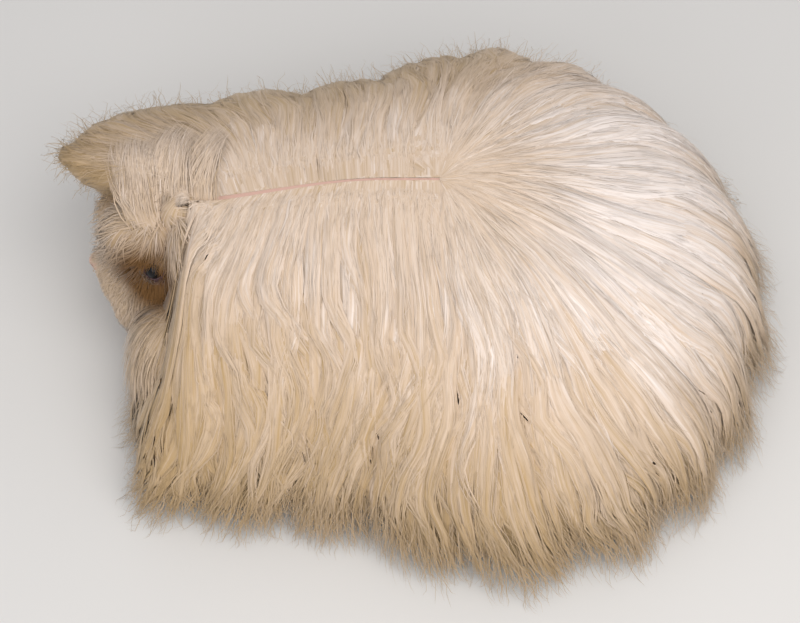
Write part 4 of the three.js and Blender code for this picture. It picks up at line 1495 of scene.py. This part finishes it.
class GUINEAPIG_OT_long_coat(bpy.types.Operator):
    """Lay the long hair in wavy locks with fine strands over them, one sweep after another"""

    bl_idname = "guineapig.long_coat"
    bl_label = "Long coat"

    def execute(self, context):
        settings = context.scene.guinea_pig
        fine = bpy.data.materials.get("fur") or fur_material(settings)
        broad = lock_material(settings)
        for number, (region, count) in enumerate(STRANDS.items()):
            rng = dice("coat", number)
            locks = visible_locks(plan_locks(rng, region))
            belongs(lock_object(f"{region}_locks", locks, region, broad), "coat", region)
            belongs(coat_mat(f"{region}_mat", region, broad), "coat", region)
            strands = lock_strands(rng, locks, region, settings, count)
            for part, chosen in zip("ab", np.array_split(rng.permutation(count), 2)):
                belongs(strand_object(f"{region}_hair_{part}", strands.take(chosen), fine), "coat", region)
        return {"FINISHED"}


class GUINEAPIG_OT_fringe(bpy.types.Operator):
    """Add the fine frizzy hair that blurs the hem and the outline"""

    bl_idname = "guineapig.fringe"
    bl_label = "Fringe"

    def execute(self, context):
        settings = context.scene.guinea_pig
        material = bpy.data.materials.get("fur") or fur_material(settings)
        for number, (region, count) in enumerate(FRINGE.items()):
            strands = fringe(dice("fringe", number), region, settings, count)
            belongs(strand_object(f"{region}_fringe", strands, material), "coat", region)
        return {"FINISHED"}


class GUINEAPIG_OT_short_fur(bpy.types.Operator):
    """Lay the short fur of the face and belly on the skin, and the forelock over it"""

    bl_idname = "guineapig.short_fur"
    bl_label = "Short fur"

    def execute(self, context):
        settings = context.scene.guinea_pig
        material = bpy.data.materials.get("fur") or fur_material(settings)
        mesh = bpy.data.objects["skin"].data
        face = face_fur(dice("face"), settings, mesh)
        belongs(strand_object("face_fur", face, material), "face_fur", "head")
        brow = brow_fur(dice("brow"))
        belongs(strand_object("brow_fur", brow, material), "face_fur", "head")
        under = under_fur(dice("under"), mesh)
        belongs(strand_object("under_fur", under, material), "coat", "barrel")
        crest = crest_fur(dice("crest"))
        belongs(strand_object("crest_fur", crest, material), "coat", "forelock")
        broad = bpy.data.materials.get("locks") or lock_material(settings)
        for number, (name, (node, *mass)) in enumerate(MASSES.items()):
            belongs(mass_mat(f"{name}_mat", *mass[:2], broad), "coat", node)
            fluff = mass_fur(dice("masses", number), *mass)
            belongs(strand_object(f"{name}_fur", fluff, material), "coat", node)
        return {"FINISHED"}


# ---------------------------------------------------------------- the stage, in metres
FLOOR_HALF = 3.0
ANIMAL_MIDDLE = (0, 0, 0.05)
# place, what it is aimed at, width, power in watts and colour
LIGHTS = {
    "key": ((0.24, -0.42, 0.85), (0.03, -0.02, 0.05), 0.9, 5.3, (1.0, 0.97, 0.94)),
    "fill": ((-0.6, -1.1, 0.7), ANIMAL_MIDDLE, 1.2, 5.0, (0.98, 0.98, 1.0)),
    "back": ((0.2, 1.2, 0.9), ANIMAL_MIDDLE, 0.9, 0.6, (1.0, 0.97, 0.93)),
}
AIR_COLOUR, AIR_STRENGTH = (0.97, 0.97, 1.0, 1), 0.55
CAMERA_AIM, CAMERA_DISTANCE = (-0.0095, -0.014, 0.032), 0.9
CAMERA_HEIGHT = 55 * pi / 180  # its angle over the floor
CAMERA_LENS, CAMERA_SENSOR = 90, 36  # in millimetres


def area_light(name, place, aim, size, power, colour):
    """A round, soft studio light."""
    light = bpy.data.lights.new(name, "AREA")
    light.shape = "DISK"
    light.size, light.energy, light.color = size, power, colour
    obj = bpy.data.objects.new(name, light)
    bpy.context.scene.collection.objects.link(obj)
    obj.location = place
    obj.rotation_euler = (Vector(aim) - Vector(place)).to_track_quat("-Z", "Y").to_euler()
    return obj


class GUINEAPIG_OT_stage(bpy.types.Operator):
    """Set the floor, the soft studio light and the camera"""

    bl_idname = "guineapig.stage"
    bl_label = "Stage"

    def execute(self, context):
        settings = context.scene.guinea_pig
        tones = settings.floor, settings.floor_shade
        paint = mottled_material("floor", *tones, scale=6, roughness=0.9, specular=0.1)
        corners = [(x * FLOOR_HALF, y * FLOOR_HALF, 0) for x, y in ((-1, -1), (1, -1), (1, 1), (-1, 1))]
        floor = mesh_object("floor", corners, [(0, 1, 2, 3)], paint)
        lights = [area_light(name, *values) for name, values in LIGHTS.items()]
        world = bpy.data.worlds.new("studio")
        world.use_nodes = True
        air = world.node_tree.nodes["Background"].inputs
        air[0].default_value, air[1].default_value = AIR_COLOUR, AIR_STRENGTH
        context.scene.world = world
        data = bpy.data.cameras.new("camera")
        data.lens, data.sensor_width = CAMERA_LENS, CAMERA_SENSOR
        camera = bpy.data.objects.new("camera", data)
        context.scene.collection.objects.link(camera)
        target = Vector(CAMERA_AIM)
        back = Vector((0, -np.cos(CAMERA_HEIGHT), np.sin(CAMERA_HEIGHT)))
        camera.location = target + CAMERA_DISTANCE * back
        camera.rotation_euler = (target - camera.location).to_track_quat("-Z", "Y").to_euler()
        context.scene.camera = camera
        context.scene.view_settings.view_transform = "Standard"
        return {"FINISHED"}


class GUINEAPIG_PT_panel(bpy.types.Panel):
    """Sizes, colours and steps of the guinea pig"""

    bl_label = "Guinea pig"
    bl_idname = "GUINEAPIG_PT_panel"
    bl_space_type = "VIEW_3D"
    bl_region_type = "UI"
    bl_category = "Guinea pig"

    def draw(self, context):
        for name in GuineaPigSettings.__annotations__:
            self.layout.prop(context.scene.guinea_pig, name)
        for step in STEPS:
            self.layout.operator(step.bl_idname)


STEPS = (
    GUINEAPIG_OT_skin,
    GUINEAPIG_OT_eyes,
    GUINEAPIG_OT_claws,
    GUINEAPIG_OT_long_coat,
    GUINEAPIG_OT_fringe,
    GUINEAPIG_OT_short_fur,
    GUINEAPIG_OT_stage,
)
CLASSES = (GuineaPigSettings, *STEPS, GUINEAPIG_PT_panel)


def register():
    for cls in CLASSES:
        bpy.utils.register_class(cls)
    bpy.types.Scene.guinea_pig = PointerProperty(type=GuineaPigSettings)


def unregister():
    del bpy.types.Scene.guinea_pig
    for cls in reversed(CLASSES):
        bpy.utils.unregister_class(cls)


def main():
    register()
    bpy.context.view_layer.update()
    bpy.ops.guineapig.skin()
    bpy.ops.guineapig.eyes()
    bpy.ops.guineapig.claws()
    bpy.ops.guineapig.long_coat()
    bpy.ops.guineapig.fringe()
    bpy.ops.guineapig.short_fur()
    bpy.ops.guineapig.stage()


if __name__ == "__main__":
    main()
